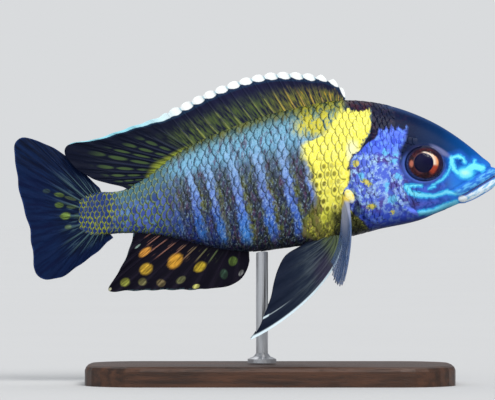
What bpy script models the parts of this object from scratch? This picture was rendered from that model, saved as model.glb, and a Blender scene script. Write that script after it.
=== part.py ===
"""A male peacock cichlid at life size, swimming on a plain display stand.

+X points to the snout, +Z is up and +Y is the fish's left side. The origin is the middle of the
underside of the stand's base. Sizes are named in millimetres, and MM turns them into metres.
"""

import math

import bmesh
import bpy
import numpy as np

MM = 0.001
GAP = 0.3

# Outline of the body in side view: (x, z) of the back and of the belly, from snout to tail stalk.
BACK = [
    (56.2, 53.0), (55.4, 54.7), (53.0, 57.0), (45.0, 63.2), (35.0, 68.2), (27.0, 70.4), (19.0, 71.1),
    (6.0, 69.2), (-10.0, 64.3), (-24.0, 57.5), (-31.0, 52.0), (-37.0, 48.6), (-43.5, 48.2),
]
BELLY = [
    (56.2, 50.6), (55.2, 49.0), (52.0, 46.9), (46.6, 44.6), (38.0, 40.9), (27.0, 38.4), (17.5, 36.1),
    (5.0, 34.0), (-6.0, 32.9), (-17.0, 34.4), (-28.0, 37.0), (-37.0, 37.5), (-43.5, 36.8),
]
HALF_WIDTH = [
    (56.2, 0.8), (55.0, 2.2), (52.0, 3.7), (47.0, 5.1), (42.0, 6.1), (35.0, 7.1), (26.0, 7.9), (14.0, 8.0),
    (2.0, 7.5), (-8.0, 6.6), (-18.0, 5.2), (-28.0, 3.7), (-36.0, 2.6), (-43.5, 1.5),
]
WIDEST_LEVEL = 0.48
BACK_ROUNDNESS = [(56.0, 0.85), (38.0, 0.84), (22.0, 0.98), (0.0, 1.08), (-43.5, 1.0)]
BELLY_ROUNDNESS = [(56.0, 0.85), (38.0, 0.85), (10.0, 0.84), (-6.0, 0.92), (-20.0, 1.05), (-43.5, 1.0)]
SNOUT_X = 56.2
RING_POINTS = 30
HEAD_STEP = 1.45
TRUNK_STEP = 2.6
STALK_STEP = 2.1
COVER_STEP = 1.1
BEYOND = 20.0

# Where the body is parted: head and trunk along the gill opening, trunk and tail stalk behind the fins.
HEAD_SEAM = [(25.0, 75.0), (24.3, 62.5), (22.5, 52.0), (24.5, 43.0), (27.0, 33.0)]
STALK_SEAM_X = -33.0
STALK_END_X = -43.5

# The tail swings gently to the fish's left, from this x back to the tip of the tail.
BEND_START_X = 12.0
TAIL_TIP_X = -63.6
TAIL_SWING = 3.2

EYE_CENTRE = (38.1, 54.9)
EYE_LENGTH = 11.2
EYE_HEIGHT = 10.0
EYE_DEPTH = 6.2
EYE_SUNK = 1.85
PUPIL_RADIUS = 2.4
PUPIL_HALF_DEPTH = 0.85
PUPIL_SUNK = 0.55
ORBIT_RIM_RADIUS = 0.55
ORBIT_RIM_SUNK = 0.12
ORBIT_RIM_REACH = 0.44

NOSTRIL = (47.6, 55.8)
NOSTRIL_RADIUS = 0.6
NOSTRIL_DEPTH = 0.9

MOUTH_FRONT = (56.6, 52.0)
MOUTH_CORNER = (47.4, 46.5)
LIP_RADIUS = 1.05
UPPER_LIP_OFFSET = LIP_RADIUS + GAP + 0.05
LOWER_LIP_OFFSET = -LIP_RADIUS - 0.05
LIP_SUNK = 0.35
LIP_FRONT_X = 55.5

GILL_COVER = [
    (24.4, 62.6), (22.8, 59.4), (20.7, 56.8), (19.8, 54.2), (19.9, 51.4), (20.6, 48.4), (21.8, 45.8),
    (22.8, 43.2), (24.2, 41.0), (26.6, 39.9), (30.0, 41.0), (30.3, 43.6), (29.0, 47.2), (28.4, 52.0),
    (28.9, 57.0), (28.2, 61.4),
]
GILL_COVER_THICKNESS = 1.2
GILL_COVER_RISE = 0.5
GILL_COVER_INNER_Y = 0.8

# Half thicknesses of a fin: at its edge, in the web between rays, and at the root.
FIN_EDGE_HALF = 0.17
WEB_HALF = 0.27
UNPAIRED_ROOT_HALF = 1.1
CAUDAL_ROOT_HALF = 1.25
PAIRED_ROOT_HALF = 0.8
RAY_RISE = 0.22
RAY_FOOT = 0.2
ROOT_SUNK = 1.4

DORSAL_SPINES = 16
DORSAL_SOFT_RAYS = 10
DORSAL_BASE_FRONT_X = 18.4
DORSAL_BASE_REAR_X = -32.0
DORSAL_MARGIN = [
    (18.9, 71.6), (17.0, 74.4), (13.5, 76.1), (8.0, 77.1), (1.0, 77.2), (-7.0, 75.6), (-15.0, 72.6),
    (-25.0, 67.8), (-35.0, 64.2), (-43.0, 61.4), (-51.4, 58.5), (-50.6, 56.2), (-47.2, 53.0),
    (-43.0, 50.8), (-38.5, 49.7), (-35.0, 48.6),
]
DORSAL_SPINES_BASE_SHARE = 0.70
DORSAL_SPINES_MARGIN_SHARE = 0.50
DORSAL_TIP_SHARE = 0.755
LAPPET_HEIGHT = 1.0
DORSAL_CURL = 4.0
DORSAL_CURL_START_X = -18.0

ANAL_SPINES = [(0.0, 0.02), (0.08, 0.14), (0.17, 0.26)]
ANAL_SOFT_RAYS = 9
ANAL_BASE_FRONT_X = -5.2
ANAL_BASE_REAR_X = -31.0
ANAL_MARGIN = [
    (-4.9, 32.0), (-5.5, 29.2), (-7.0, 26.5), (-10.0, 24.6), (-14.5, 23.9), (-27.5, 23.5), (-36.0, 23.3),
    (-40.6, 23.4), (-39.2, 25.9), (-37.4, 28.9), (-35.6, 32.6), (-34.0, 38.0),
]
ANAL_CURL = 3.2
ANAL_CURL_START_X = -14.0

CAUDAL_RAYS = 16
CAUDAL_BASE = [(-41.9, 47.2), (-42.9, 45.8), (-43.1, 42.6), (-42.7, 39.4), (-40.8, 38.4)]
CAUDAL_MARGIN = [
    (-42.6, 48.9), (-45.4, 51.7), (-49.0, 55.4), (-53.6, 58.7), (-58.6, 60.9), (-62.6, 61.6), (-63.7, 60.4),
    (-63.6, 54.0), (-62.4, 46.4), (-60.3, 39.0), (-59.3, 31.5), (-58.4, 27.0), (-56.6, 26.2), (-53.0, 26.4),
    (-48.0, 29.5), (-43.0, 33.2), (-39.3, 36.7),
]
CAUDAL_MIDDLE_Z = 45.0
CAUDAL_HALF_HEIGHT = 18.0
CAUDAL_CUP = 1.4

PELVIC_ROOT = (17.3, 37.2)
PELVIC_ROOT_LENGTH = 3.4
PELVIC_ROOT_Y = 2.4
PELVIC_SPLAY = 0.16
PELVIC_MARGIN = [
    (-5.0, 11.2), (-2.7, 14.4), (-1.3, 17.9), (0.1, 21.2), (1.0, 25.4), (2.0, 28.7), (3.8, 32.0),
    (7.6, 34.5), (11.4, 36.7),
]
PELVIC_TIPS = [0.0, 0.2, 0.38, 0.54, 0.72, 1.0]
PELVIC_BOW = 0.36

PECTORAL_RAYS = 11
PECTORAL_ROOT = (18.5, 46.2)
PECTORAL_SUNK = 0.9
PECTORAL_LENGTH = 25.0
PECTORAL_SPREAD = 21.5
PECTORAL_ALONG = (0.05, -0.46, -0.886)
PECTORAL_ACROSS = (0.20, -0.864, 0.46)
PECTORAL_ROOT_WIDTH = 3.0
PECTORAL_BACKSWEEP = 2.6
PECTORAL_LONGEST = 0.66
PECTORAL_SHORTENING = 0.42
PECTORAL_KNOB = (1.25, 1.1, 1.7)
PECTORAL_KNOB_DOWN = 0.6

BASE_LENGTH = 92.0
BASE_WIDTH = 46.0
BASE_THICKNESS = 5.0
BASE_CORNER = 14.0
BASE_EDGE = 1.2
ROD_X = -2.0
ROD_RADIUS = 1.5
ROD_COLLAR_RADIUS = 3.6
ROD_COLLAR_HEIGHT = 1.6

# Colour, roughness and metallic value of each sub-part.
FINISHES = {
    "head": ((0.16, 0.22, 0.48), 0.36),
    "lower_jaw": ((0.55, 0.66, 0.78), 0.36),
    "gill_cover": ((0.22, 0.26, 0.62), 0.36),
    "trunk": ((0.15, 0.25, 0.42), 0.38),
    "tail_stalk": ((0.20, 0.30, 0.40), 0.38),
    "eye": ((0.05, 0.04, 0.08), 0.08),
    "dorsal_fin": ((0.06, 0.09, 0.14), 0.45),
    "anal_fin": ((0.06, 0.04, 0.09), 0.45),
    "caudal_fin": ((0.03, 0.08, 0.22), 0.45),
    "pelvic_fin": ((0.08, 0.12, 0.16), 0.45),
    "pectoral_fin": ((0.20, 0.30, 0.42), 0.45),
    "stand_base": ((0.055, 0.032, 0.022), 0.42),
    "stand_rod": ((0.62, 0.62, 0.64), 0.32, 1.0),
}
SHARP_ANGLE = math.radians(38)


def profile(points):
    """A smooth function of x through (x, value) points: cubic pieces with the neighbours' slopes."""
    xs, values = np.array(sorted(points), float).T
    slopes = np.gradient(values, xs)

    def value_at(x):
        x = np.clip(x, xs[0], xs[-1])
        i = np.clip(np.searchsorted(xs, x) - 1, 0, len(xs) - 2)
        width = xs[i + 1] - xs[i]
        t = (x - xs[i]) / width
        rise = values[i + 1] - values[i]
        first = slopes[i] * width - rise
        last = rise - slopes[i + 1] * width
        return values[i] + rise * t + t * (1 - t) * ((1 - t) * first + t * last)

    return value_at


def curve(points):
    """A smooth curve through points, as a function of its share of length, from 0 to 1."""
    points = np.array(points, float)
    chords = np.linalg.norm(np.diff(points, axis=0), axis=1)
    at = np.concatenate([[0.0], np.cumsum(chords)])
    parts = [profile(list(zip(at, points[:, axis]))) for axis in range(points.shape[1])]
    fine = np.linspace(0, at[-1], 12 * len(points))
    dense = np.stack([part(fine) for part in parts], axis=1)
    steps = np.linalg.norm(np.diff(dense, axis=0), axis=1)
    length = np.concatenate([[0.0], np.cumsum(steps)])
    length /= length[-1]
    return lambda share: np.array([np.interp(share, length, dense[:, a]) for a in range(dense.shape[1])])


back = profile(BACK)
belly = profile(BELLY)
half_width = profile(HALF_WIDTH)
back_roundness = profile(BACK_ROUNDNESS)
belly_roundness = profile(BELLY_ROUNDNESS)


def widest(x, out=0.0):
    """The level at which the section at x is widest."""
    return belly(x) - out + WIDEST_LEVEL * (back(x) - belly(x) + 2 * out)


def side_at(x, z, out=0.0):
    """How far the body's surface stands from its middle plane at (x, z)."""
    middle = widest(x, out)
    if z > middle:
        share, power = (z - middle) / (back(x) + out - middle), back_roundness(x)
    else:
        share, power = (middle - z) / (middle - belly(x) + out), belly_roundness(x)
    return (half_width(x) + out) * max(0.0, 1 - share * share) ** (power / 2)


def section(x, out=0.0):
    """One closed ring of the body at x: an oval whose back and belly halves have their own roundness."""
    angle = 2 * math.pi * np.arange(RING_POINTS) / RING_POINTS
    across, up = np.sin(angle), np.cos(angle)
    middle = widest(x, out)
    reach = np.where(up > 0, back(x) + out - middle, middle - belly(x) + out)
    power = np.where(up > 0, back_roundness(x), belly_roundness(x))
    y = (half_width(x) + out) * np.sign(across) * np.abs(across) ** power
    return np.stack([np.full(RING_POINTS, x), y, middle + reach * up], axis=1)


def material(name, colour, roughness, metallic=0.0):
    made = bpy.data.materials.new(name)
    made.use_nodes = True
    shader = made.node_tree.nodes["Principled BSDF"]
    shader.inputs["Base Color"].default_value = (*colour, 1.0)
    shader.inputs["Roughness"].default_value = roughness
    shader.inputs["Metallic"].default_value = metallic
    return made


def mesh_object(name, points, faces):
    """A closed mesh from points in millimetres, with its faces turned outwards."""
    mesh = bpy.data.meshes.new(name)
    mesh.from_pydata([tuple(float(v) * MM for v in p) for p in points], [], [tuple(map(int, f)) for f in faces])
    built = bmesh.new()
    built.from_mesh(mesh)
    bmesh.ops.recalc_face_normals(built, faces=built.faces)
    built.to_mesh(mesh)
    built.free()
    made = bpy.data.objects.new(name, mesh)
    bpy.context.scene.collection.objects.link(made)
    return made


def loft(name, rings):
    """A closed solid through rings of equal point counts, with a flat cap at each end."""
    count = len(rings[0])
    faces = []
    for i in range(len(rings) - 1):
        for j in range(count):
            k = (j + 1) % count
            faces.append((i * count + j, i * count + k, (i + 1) * count + k, (i + 1) * count + j))
    last = (len(rings) - 1) * count
    faces.append(tuple(range(count)))
    faces.append(tuple(last + j for j in range(count)))
    return mesh_object(name, np.concatenate(rings), faces)


def prism(name, outline, y_from, y_to):
    """A side-view outline of (x, z) points, drawn out from one y to another."""
    rings = [np.array([(x, y, z) for x, z in outline]) for y in (y_from, y_to)]
    return loft(name, rings)


def ellipsoid(name, centre, radii, across=18, rows=10):
    """An ellipsoid with its poles along Y."""
    points = [(centre[0], centre[1] - radii[1], centre[2])]
    for row in range(1, rows):
        polar = math.pi * row / rows
        for k in range(across):
            turn = 2 * math.pi * k / across
            points.append((
                centre[0] + radii[0] * math.sin(polar) * math.cos(turn),
                centre[1] - radii[1] * math.cos(polar),
                centre[2] + radii[2] * math.sin(polar) * math.sin(turn),
            ))
    points.append((centre[0], centre[1] + radii[1], centre[2]))
    faces = [(0, 1 + k, 1 + (k + 1) % across) for k in range(across)]
    for row in range(rows - 2):
        a, b = 1 + row * across, 1 + (row + 1) * across
        faces += [(a + k, b + k, b + (k + 1) % across, a + (k + 1) % across) for k in range(across)]
    a, end = 1 + (rows - 2) * across, len(points) - 1
    faces += [(a + k, end, a + (k + 1) % across) for k in range(across)]
    return mesh_object(name, points, faces)


def sweep(name, path, radii, sides=8, closed=False):
    """A round tube along a path, with its own radius at each point."""
    path = np.array(path, float)
    rings = []
    for i, point in enumerate(path):
        if closed:
            ahead = path[(i + 1) % len(path)] - path[i - 1]
        else:
            ahead = path[min(i + 1, len(path) - 1)] - path[max(i - 1, 0)]
        ahead /= np.linalg.norm(ahead)
        side = np.cross(ahead, (0.0, 0.35, 1.0))
        side /= np.linalg.norm(side)
        up = np.cross(side, ahead)
        turn = 2 * math.pi * np.arange(sides) / sides
        rings.append(point + radii[i] * (np.outer(np.cos(turn), side) + np.outer(np.sin(turn), up)))
    if not closed:
        return loft(name, rings)
    count = len(rings)
    faces = [
        (i * sides + j, i * sides + (j + 1) % sides,
         (i + 1) % count * sides + (j + 1) % sides, (i + 1) % count * sides + j)
        for i in range(count)
        for j in range(sides)
    ]
    return mesh_object(name, np.concatenate(rings), faces)


def apply_modifiers(target):
    graph = bpy.context.evaluated_depsgraph_get()
    mesh = bpy.data.meshes.new_from_object(target.evaluated_get(graph))
    target.modifiers.clear()
    target.data = mesh


def remove(*objects):
    for item in objects:
        bpy.data.objects.remove(item)


def keep_largest(target):
    """Keeps only the closed surface with the most room inside."""
    built = bmesh.new()
    built.from_mesh(target.data)
    left, pieces = set(built.faces), []
    while left:
        todo, piece = [left.pop()], []
        while todo:
            face = todo.pop()
            piece.append(face)
            for edge in face.edges:
                for other in edge.link_faces:
                    if other in left:
                        left.remove(other)
                        todo.append(other)
        pieces.append(piece)
    if len(pieces) > 1:
        def room(piece):
            total = 0.0
            for face in piece:
                corners = [loop.vert.co for loop in face.loops]
                for a, b in zip(corners[1:], corners[2:]):
                    total += corners[0].dot(a.cross(b)) / 6
            return abs(total)

        pieces.sort(key=room)
        for piece in pieces[:-1]:
            bmesh.ops.delete(built, geom=piece, context="FACES")
        loose = [vert for vert in built.verts if not vert.link_faces]
        bmesh.ops.delete(built, geom=loose, context="VERTS")
    built.to_mesh(target.data)
    built.free()


def cut(target, *cutters, keep="outside"):
    """Takes the cutters out of target, or keeps only what lies inside them."""
    for cutter in cutters:
        modifier = target.modifiers.new("cut", "BOOLEAN")
        modifier.operation = "DIFFERENCE" if keep == "outside" else "INTERSECT"
        modifier.object = cutter
        apply_modifiers(target)
    keep_largest(target)


def join(target, pieces):
    """Fuses pieces into target with one union, then removes them."""
    group = bpy.data.collections.new("pieces")
    bpy.context.scene.collection.children.link(group)
    for piece in pieces:
        bpy.context.scene.collection.objects.unlink(piece)
        group.objects.link(piece)
    modifier = target.modifiers.new("join", "BOOLEAN")
    modifier.operation = "UNION"
    modifier.operand_type = "COLLECTION"
    modifier.collection = group
    apply_modifiers(target)
    remove(*pieces)
    bpy.data.collections.remove(group)
    keep_largest(target)


def copy_of(source, name):
    made = source.copy()
    made.data = source.data.copy()
    made.name = name
    bpy.context.scene.collection.objects.link(made)
    return made


def mirrored(source, name):
    """The same solid on the fish's other side."""
    made = copy_of(source, name)
    for vert in made.data.vertices:
        vert.co.y = -vert.co.y
    made.data.flip_normals()
    return made


def body_solid(name, x_from, x_to, step, out=0.0):
    """The body between two stations, with its surface moved out by a stated amount."""
    count = max(2, round(abs(x_to - x_from) / step) + 1)
    return loft(name, [section(x, out) for x in np.linspace(x_from, x_to, count)])


def grown(outline, by):
    """An outline moved outwards by a distance, corner by corner."""
    points = np.array(outline, float)
    before, after = np.roll(points, 1, axis=0), np.roll(points, -1, axis=0)
    ahead = after - before
    ahead /= np.linalg.norm(ahead, axis=1)[:, None]
    normal = np.stack([ahead[:, 1], -ahead[:, 0]], axis=1)
    area = np.sum(points[:, 0] * after[:, 1] - after[:, 0] * points[:, 1])
    return points + by * (1 if area > 0 else -1) * normal


def body_shell():
    """The body's outer surface, a little grown, that every root is cut back to."""
    stations = np.concatenate([np.linspace(56.5, 19.0, 29), np.linspace(16.5, -43.5, 25)])
    rings = [section(x, GAP) for x in stations]
    rings.append(rings[-1] + np.array([-GAP, 0, 0]))
    return loft("body_shell", rings)


def surface_point(x, z, sunk=0.0):
    """A point on the fish's right side at (x, z), sunk by a distance."""
    return np.array([x, -(side_at(x, z) - sunk), z])


def lip(name, offset):
    """A rounded lip above or below the mouth's line: it follows the snout from one corner to the other."""
    front, corner = np.array(MOUTH_FRONT), np.array(MOUTH_CORNER)
    along = (front - corner) / np.linalg.norm(front - corner)
    shift = np.array([-along[1], along[0]]) * offset
    reach = (LIP_FRONT_X - shift[0] - corner[0]) / (front[0] - corner[0])
    right = []
    for share in (0.0, 0.35, 0.65, 0.87, 1.0):
        x, z = corner + (front - corner) * share * reach
        right.append(surface_point(x, z, LIP_SUNK) + (shift[0], 0, shift[1]))
    middle = np.array([right[-1][0] + LIP_SUNK, 0.0, right[-1][2]])
    left = [point * (1, -1, 1) for point in reversed(right)]
    at = curve(right + [middle] + left)
    shares = np.linspace(0, 1, 17)
    radii = LIP_RADIUS * (1 - 0.3 * np.abs(2 * shares - 1) ** 3)
    return sweep(name, [at(share) for share in shares], radii)


def orbit_rim(name):
    """The ring of skin round the eye, on the right side."""
    path = []
    for turn in np.linspace(0, 2 * math.pi, 20, endpoint=False):
        x = EYE_CENTRE[0] + ORBIT_RIM_REACH * EYE_LENGTH * math.cos(turn)
        z = EYE_CENTRE[1] + ORBIT_RIM_REACH * EYE_HEIGHT * math.sin(turn)
        path.append(surface_point(x, z, ORBIT_RIM_SUNK))
    return sweep(name, path, [ORBIT_RIM_RADIUS] * len(path), sides=6, closed=True)


def eye_solid(name, gap=0.0):
    """The right eyeball, flattened like a lens, with its pupil raised a little."""
    centre = surface_point(*EYE_CENTRE, EYE_SUNK)
    radii = (EYE_LENGTH / 2 + gap, EYE_DEPTH / 2 + gap, EYE_HEIGHT / 2 + gap)
    ball = ellipsoid(name, centre, radii)
    if not gap:
        front = centre - (0, EYE_DEPTH / 2 - PUPIL_SUNK, 0)
        join(ball, [ellipsoid("pupil", front, (PUPIL_RADIUS, PUPIL_HALF_DEPTH, PUPIL_RADIUS), 16, 6)])
    return ball


def cover_outline():
    """The gill cover's outline with its corners rounded."""
    around = curve(GILL_COVER + GILL_COVER[:1])
    return [tuple(around(share)) for share in np.linspace(0, 1, 27)[:-1]]


def jaw_outline(gap=0.0):
    """The side view of the lower jaw: under the mouth's line and ahead of its corner."""
    front, corner = np.array(MOUTH_FRONT), np.array(MOUTH_CORNER)
    reach = front + (front - corner) * 0.3
    points = [tuple(reach), tuple(corner), (45.4, 42.5), (50.0, 38.0), (62.0, 46.0)]
    return grown(points, gap) if gap else points


def behind_head(shift=0.0):
    """The side view of all that lies behind the gill opening's line."""
    seam = [(x + shift, z) for x, z in HEAD_SEAM]
    return seam + [(-70.0, 25.0), (-70.0, 80.0)]


def build_body():
    """Head, lower jaw, trunk, tail stalk, gill covers and eyes."""
    head = body_solid("head", SNOUT_X, 20.0, HEAD_STEP)
    trunk = body_solid("trunk", 28.0, STALK_SEAM_X + GAP / 2, TRUNK_STEP)
    stalk = body_solid("tail_stalk", STALK_SEAM_X - GAP / 2, STALK_END_X, STALK_STEP)

    rims = [orbit_rim("rim_right")]
    rims.append(mirrored(rims[0], "rim_left"))
    join(head, rims)

    behind = prism("behind", behind_head(GAP / 2), -BEYOND, BEYOND)
    cut(head, behind)
    ahead = prism("ahead", behind_head(-GAP / 2), -BEYOND, BEYOND)
    cut(trunk, ahead, keep="inside")
    remove(behind, ahead)

    sockets = [eye_solid("socket_right", GAP)]
    sockets.append(mirrored(sockets[0], "socket_left"))
    pit = (NOSTRIL_RADIUS, NOSTRIL_DEPTH, NOSTRIL_RADIUS)
    nostrils = [ellipsoid("nostril_right", surface_point(*NOSTRIL), pit, 8, 4)]
    nostrils.append(mirrored(nostrils[0], "nostril_left"))
    cut(head, *sockets, *nostrils)
    remove(*sockets, *nostrils)

    gill_cover = body_solid("gill_cover_right", 31.5, 18.5, COVER_STEP, GILL_COVER_RISE)
    outline = prism("outline", cover_outline(), -BEYOND, -GILL_COVER_INNER_Y)
    inner = body_solid("inner", 32.0, 18.0, COVER_STEP, -GILL_COVER_THICKNESS)
    cut(gill_cover, outline, keep="inside")
    cut(gill_cover, inner)
    pocket = prism("pocket", grown(cover_outline(), GAP), -BEYOND, GAP - GILL_COVER_INNER_Y)
    floor = body_solid("floor", 33.0, 17.0, COVER_STEP, -GILL_COVER_THICKNESS - GAP)
    cut(pocket, floor)
    pockets = [pocket, mirrored(pocket, "pocket_left")]
    cut(head, *pockets)
    cut(trunk, *pockets)
    remove(outline, inner, floor, *pockets)

    jaw = copy_of(head, "lower_jaw")
    region = prism("region", jaw_outline(), -BEYOND, BEYOND)
    cut(jaw, region, keep="inside")
    opening = prism("opening", jaw_outline(GAP), -BEYOND, BEYOND)
    cut(head, opening)
    remove(region, opening)
    join(head, [lip("upper_lip", UPPER_LIP_OFFSET)])
    join(jaw, [lip("lower_lip", LOWER_LIP_OFFSET)])

    gill_cover_left = mirrored(gill_cover, "gill_cover_left")
    eye = eye_solid("eye_right")
    return [head, jaw, trunk, stalk, gill_cover, gill_cover_left, eye, mirrored(eye, "eye_left")]


def ray_columns(rays, foot, lobes=0):
    """Columns across a fin: each ray has its ridge between two feet, and lobes points in the web behind it.

    rays holds (base share, margin share) of each ray. A column is (base, margin, ridge, lobe).
    """
    columns = []
    rays = np.array(rays, float)
    for i, here in enumerate(rays):
        if i:
            columns.append((*(here + foot * (rays[i - 1] - here)), 0.0, 0.0))
        columns.append((*here, 1.0, 0.0))
        if i == len(rays) - 1:
            continue
        step = rays[i + 1] - here
        columns.append((*(here + foot * step), 0.0, 0.0))
        for k in range(lobes):
            part = foot + (1 - 2 * foot) * (k + 1) / (lobes + 1)
            columns.append((*(here + part * step), 0.0, math.sin(math.pi * part) ** 0.6))
    return columns


def half_thickness(root_half, share, ridge):
    """Half a fin's thickness along a ray: thick at the root, thin in the web, raised on the ridge."""
    return WEB_HALF + (root_half - WEB_HALF) * (1 - share) ** 3 + ridge * RAY_RISE * (1 - share / 2)


def fin_solid(name, middle, halves, facing=(0.0, 1.0, 0.0)):
    """A thin solid from a grid of points on its middle surface and the half thickness at each.

    Both faces are split into triangles alike, and a strip closes the rim.
    """
    halves[:, -1] = FIN_EDGE_HALF
    columns, rows = halves.shape
    offset = np.array(facing) * halves[:, :, None]
    points = np.concatenate([(middle + offset).reshape(-1, 3), (middle - offset).reshape(-1, 3)])
    other = columns * rows
    faces = []
    for c in range(columns - 1):
        for r in range(rows - 1):
            a, b = c * rows + r, (c + 1) * rows + r
            faces += [(a, b, b + 1), (a, b + 1, a + 1)]
            faces += [(other + a, other + b + 1, other + b), (other + a, other + a + 1, other + b + 1)]
    start = (columns - 1) * rows
    rim = [(c * rows, (c + 1) * rows) for c in range(columns - 1)]
    rim += [((c + 1) * rows + rows - 1, c * rows + rows - 1) for c in range(columns - 1)]
    rim += [(r + 1, r) for r in range(rows - 1)]
    rim += [(start + r, start + r + 1) for r in range(rows - 1)]
    for a, b in rim:
        faces += [(a, other + a, b), (b, other + a, other + b)]
    return mesh_object(name, points, faces)


def flat_fin(name, base, margin, columns, rows, root_half, lean, bow):
    """A fin whose rays run from a base curve to a margin curve in side view.

    bow gives how far a ray bends to its side, as a share of its length, and lean the y of a point.
    """
    middle = np.zeros((len(columns), rows, 3))
    halves = np.zeros((len(columns), rows))
    for c, (at_base, at_margin, ridge, lobe) in enumerate(columns):
        start, end = base(at_base), margin(at_margin)
        ray = end - start
        end = end + ray / np.linalg.norm(ray) * LAPPET_HEIGHT * lobe
        side = np.array([-ray[1], ray[0]])
        for r, share in enumerate(np.linspace(0, 1, rows) ** 0.85):
            x, z = start + (end - start) * share + side * bow(at_base, share)
            middle[c, r] = (x, lean(x, z, share), z)
            halves[c, r] = half_thickness(root_half, share, ridge)
    return fin_solid(name, middle, halves)


def sunk_base(line, x_front, x_rear, sunk):
    """A fin's base curve: the line of the back or belly, moved into the body."""
    return curve([(x, line(x) + sunk) for x in np.linspace(x_front, x_rear, 14)])


def dorsal_fin():
    """The long fin of the back: spines with a lappet behind each tip, then soft rays out to the rear point."""
    base = sunk_base(back, DORSAL_BASE_FRONT_X, DORSAL_BASE_REAR_X, -ROOT_SUNK)
    spines = [
        (DORSAL_SPINES_BASE_SHARE * k, DORSAL_SPINES_MARGIN_SHARE * k)
        for k in np.linspace(0, 1, DORSAL_SPINES)
    ]
    at_base = np.linspace(DORSAL_SPINES_BASE_SHARE, 1.0, DORSAL_SOFT_RAYS + 1)
    upper = np.linspace(DORSAL_SPINES_MARGIN_SHARE, DORSAL_TIP_SHARE, DORSAL_SOFT_RAYS // 2 + 1)
    lower = np.linspace(DORSAL_TIP_SHARE, 1.0, DORSAL_SOFT_RAYS - DORSAL_SOFT_RAYS // 2 + 1)
    soft = list(zip(at_base, [*upper, *lower[1:]]))
    columns = ray_columns(spines, 0.16, lobes=2)[:-1] + ray_columns(soft, RAY_FOOT)

    def lean(x, z, share):
        rearward = np.clip((DORSAL_CURL_START_X - x) / (DORSAL_CURL_START_X - TAIL_TIP_X), 0, 1)
        return -DORSAL_CURL * rearward ** 2 * share

    def bow(place, share):
        return 0.05 * share * (1 - share)

    return flat_fin("dorsal_fin", base, curve(DORSAL_MARGIN), columns, 6, UNPAIRED_ROOT_HALF, lean, bow)


def anal_fin():
    base = sunk_base(belly, ANAL_BASE_FRONT_X, ANAL_BASE_REAR_X, ROOT_SUNK)
    last_spine = ANAL_SPINES[-1]
    at_base = np.linspace(last_spine[0], 1.0, ANAL_SOFT_RAYS + 1)[1:]
    at_margin = np.linspace(last_spine[1], 1.0, ANAL_SOFT_RAYS + 1)[1:]
    columns = ray_columns(ANAL_SPINES + list(zip(at_base, at_margin)), RAY_FOOT)

    def lean(x, z, share):
        rearward = np.clip((ANAL_CURL_START_X - x) / (ANAL_CURL_START_X - TAIL_TIP_X), 0, 1)
        return -ANAL_CURL * rearward ** 2 * share

    def bow(place, share):
        return -0.05 * share * (1 - share)

    return flat_fin("anal_fin", base, curve(ANAL_MARGIN), columns, 6, UNPAIRED_ROOT_HALF, lean, bow)


def caudal_fin():
    shares = np.linspace(0, 1, CAUDAL_RAYS)
    spread = 0.5 + 0.5 * np.sign(shares - 0.5) * np.abs(2 * shares - 1) ** 0.9
    columns = ray_columns(list(zip(shares, spread)), RAY_FOOT)

    def lean(x, z, share):
        return CAUDAL_CUP * share * ((z - CAUDAL_MIDDLE_Z) / CAUDAL_HALF_HEIGHT) ** 2

    def bow(place, share):
        return 0.1 * (place - 0.5) * share * (1 - share)

    base = curve(CAUDAL_BASE)
    return flat_fin("caudal_fin", base, curve(CAUDAL_MARGIN), columns, 7, CAUDAL_ROOT_HALF, lean, bow)


def pelvic_fin():
    """The right pelvic fin: its bowed leading edge runs to the point, and the rest trails behind."""
    x, z = PELVIC_ROOT
    base = curve([(x, z), (x - PELVIC_ROOT_LENGTH / 2, z + 0.2), (x - PELVIC_ROOT_LENGTH, z + 0.3)])
    columns = ray_columns(list(zip(np.linspace(0, 1, len(PELVIC_TIPS)), PELVIC_TIPS)), RAY_FOOT)

    def lean(x, z, share):
        return -(PELVIC_ROOT_Y + PELVIC_SPLAY * (PELVIC_ROOT[1] - z))

    def bow(place, share):
        return PELVIC_BOW * (1 - 0.9 * place) * share ** 0.55 * (1 - share) ** 0.9

    return flat_fin("pelvic_fin_right", base, curve(PELVIC_MARGIN), columns, 8, PAIRED_ROOT_HALF, lean, bow)


def pectoral_fin():
    """The right pectoral fin: a fan held out and down, seen nearly edge on from the side."""
    along, across = (np.array(v) / np.linalg.norm(v) for v in (PECTORAL_ALONG, PECTORAL_ACROSS))
    root = surface_point(*PECTORAL_ROOT, PECTORAL_SUNK)
    places = np.linspace(0, 1, PECTORAL_RAYS)
    columns = ray_columns(list(zip(places, places)), RAY_FOOT)
    rows = 6
    middle = np.zeros((len(columns), rows, 3))
    halves = np.zeros((len(columns), rows))
    for c, (place, _, ridge, _) in enumerate(columns):
        turn = math.radians(PECTORAL_SPREAD * (2 * place - 1))
        off_longest = abs(place - PECTORAL_LONGEST) / PECTORAL_LONGEST
        reach = PECTORAL_LENGTH * (1 - PECTORAL_SHORTENING * off_longest ** 1.6)
        ray = along * math.cos(turn) + across * math.sin(turn)
        start = root + across * PECTORAL_ROOT_WIDTH * (place - 0.5)
        for r, share in enumerate(np.linspace(0, 1, rows)):
            middle[c, r] = start + ray * reach * share - (PECTORAL_BACKSWEEP * share ** 3, 0, 0)
            halves[c, r] = half_thickness(PAIRED_ROOT_HALF, share, 0.7 * ridge)
    facing = np.cross(along, across)
    fan = fin_solid("pectoral_fin_right", middle, halves, facing / np.linalg.norm(facing))
    join(fan, [ellipsoid("knob", root + along * PECTORAL_KNOB_DOWN, PECTORAL_KNOB, 12, 6)])
    return fan


def build_fins():
    shell = body_shell()
    right = [pelvic_fin(), pectoral_fin()]
    fins = [dorsal_fin(), anal_fin(), caudal_fin(), *right]
    for fin in fins:
        cut(fin, shell)
    remove(shell)
    fins.append(mirrored(right[0], "pelvic_fin_left"))
    fins.append(mirrored(right[1], "pectoral_fin_left"))
    return fins


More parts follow.
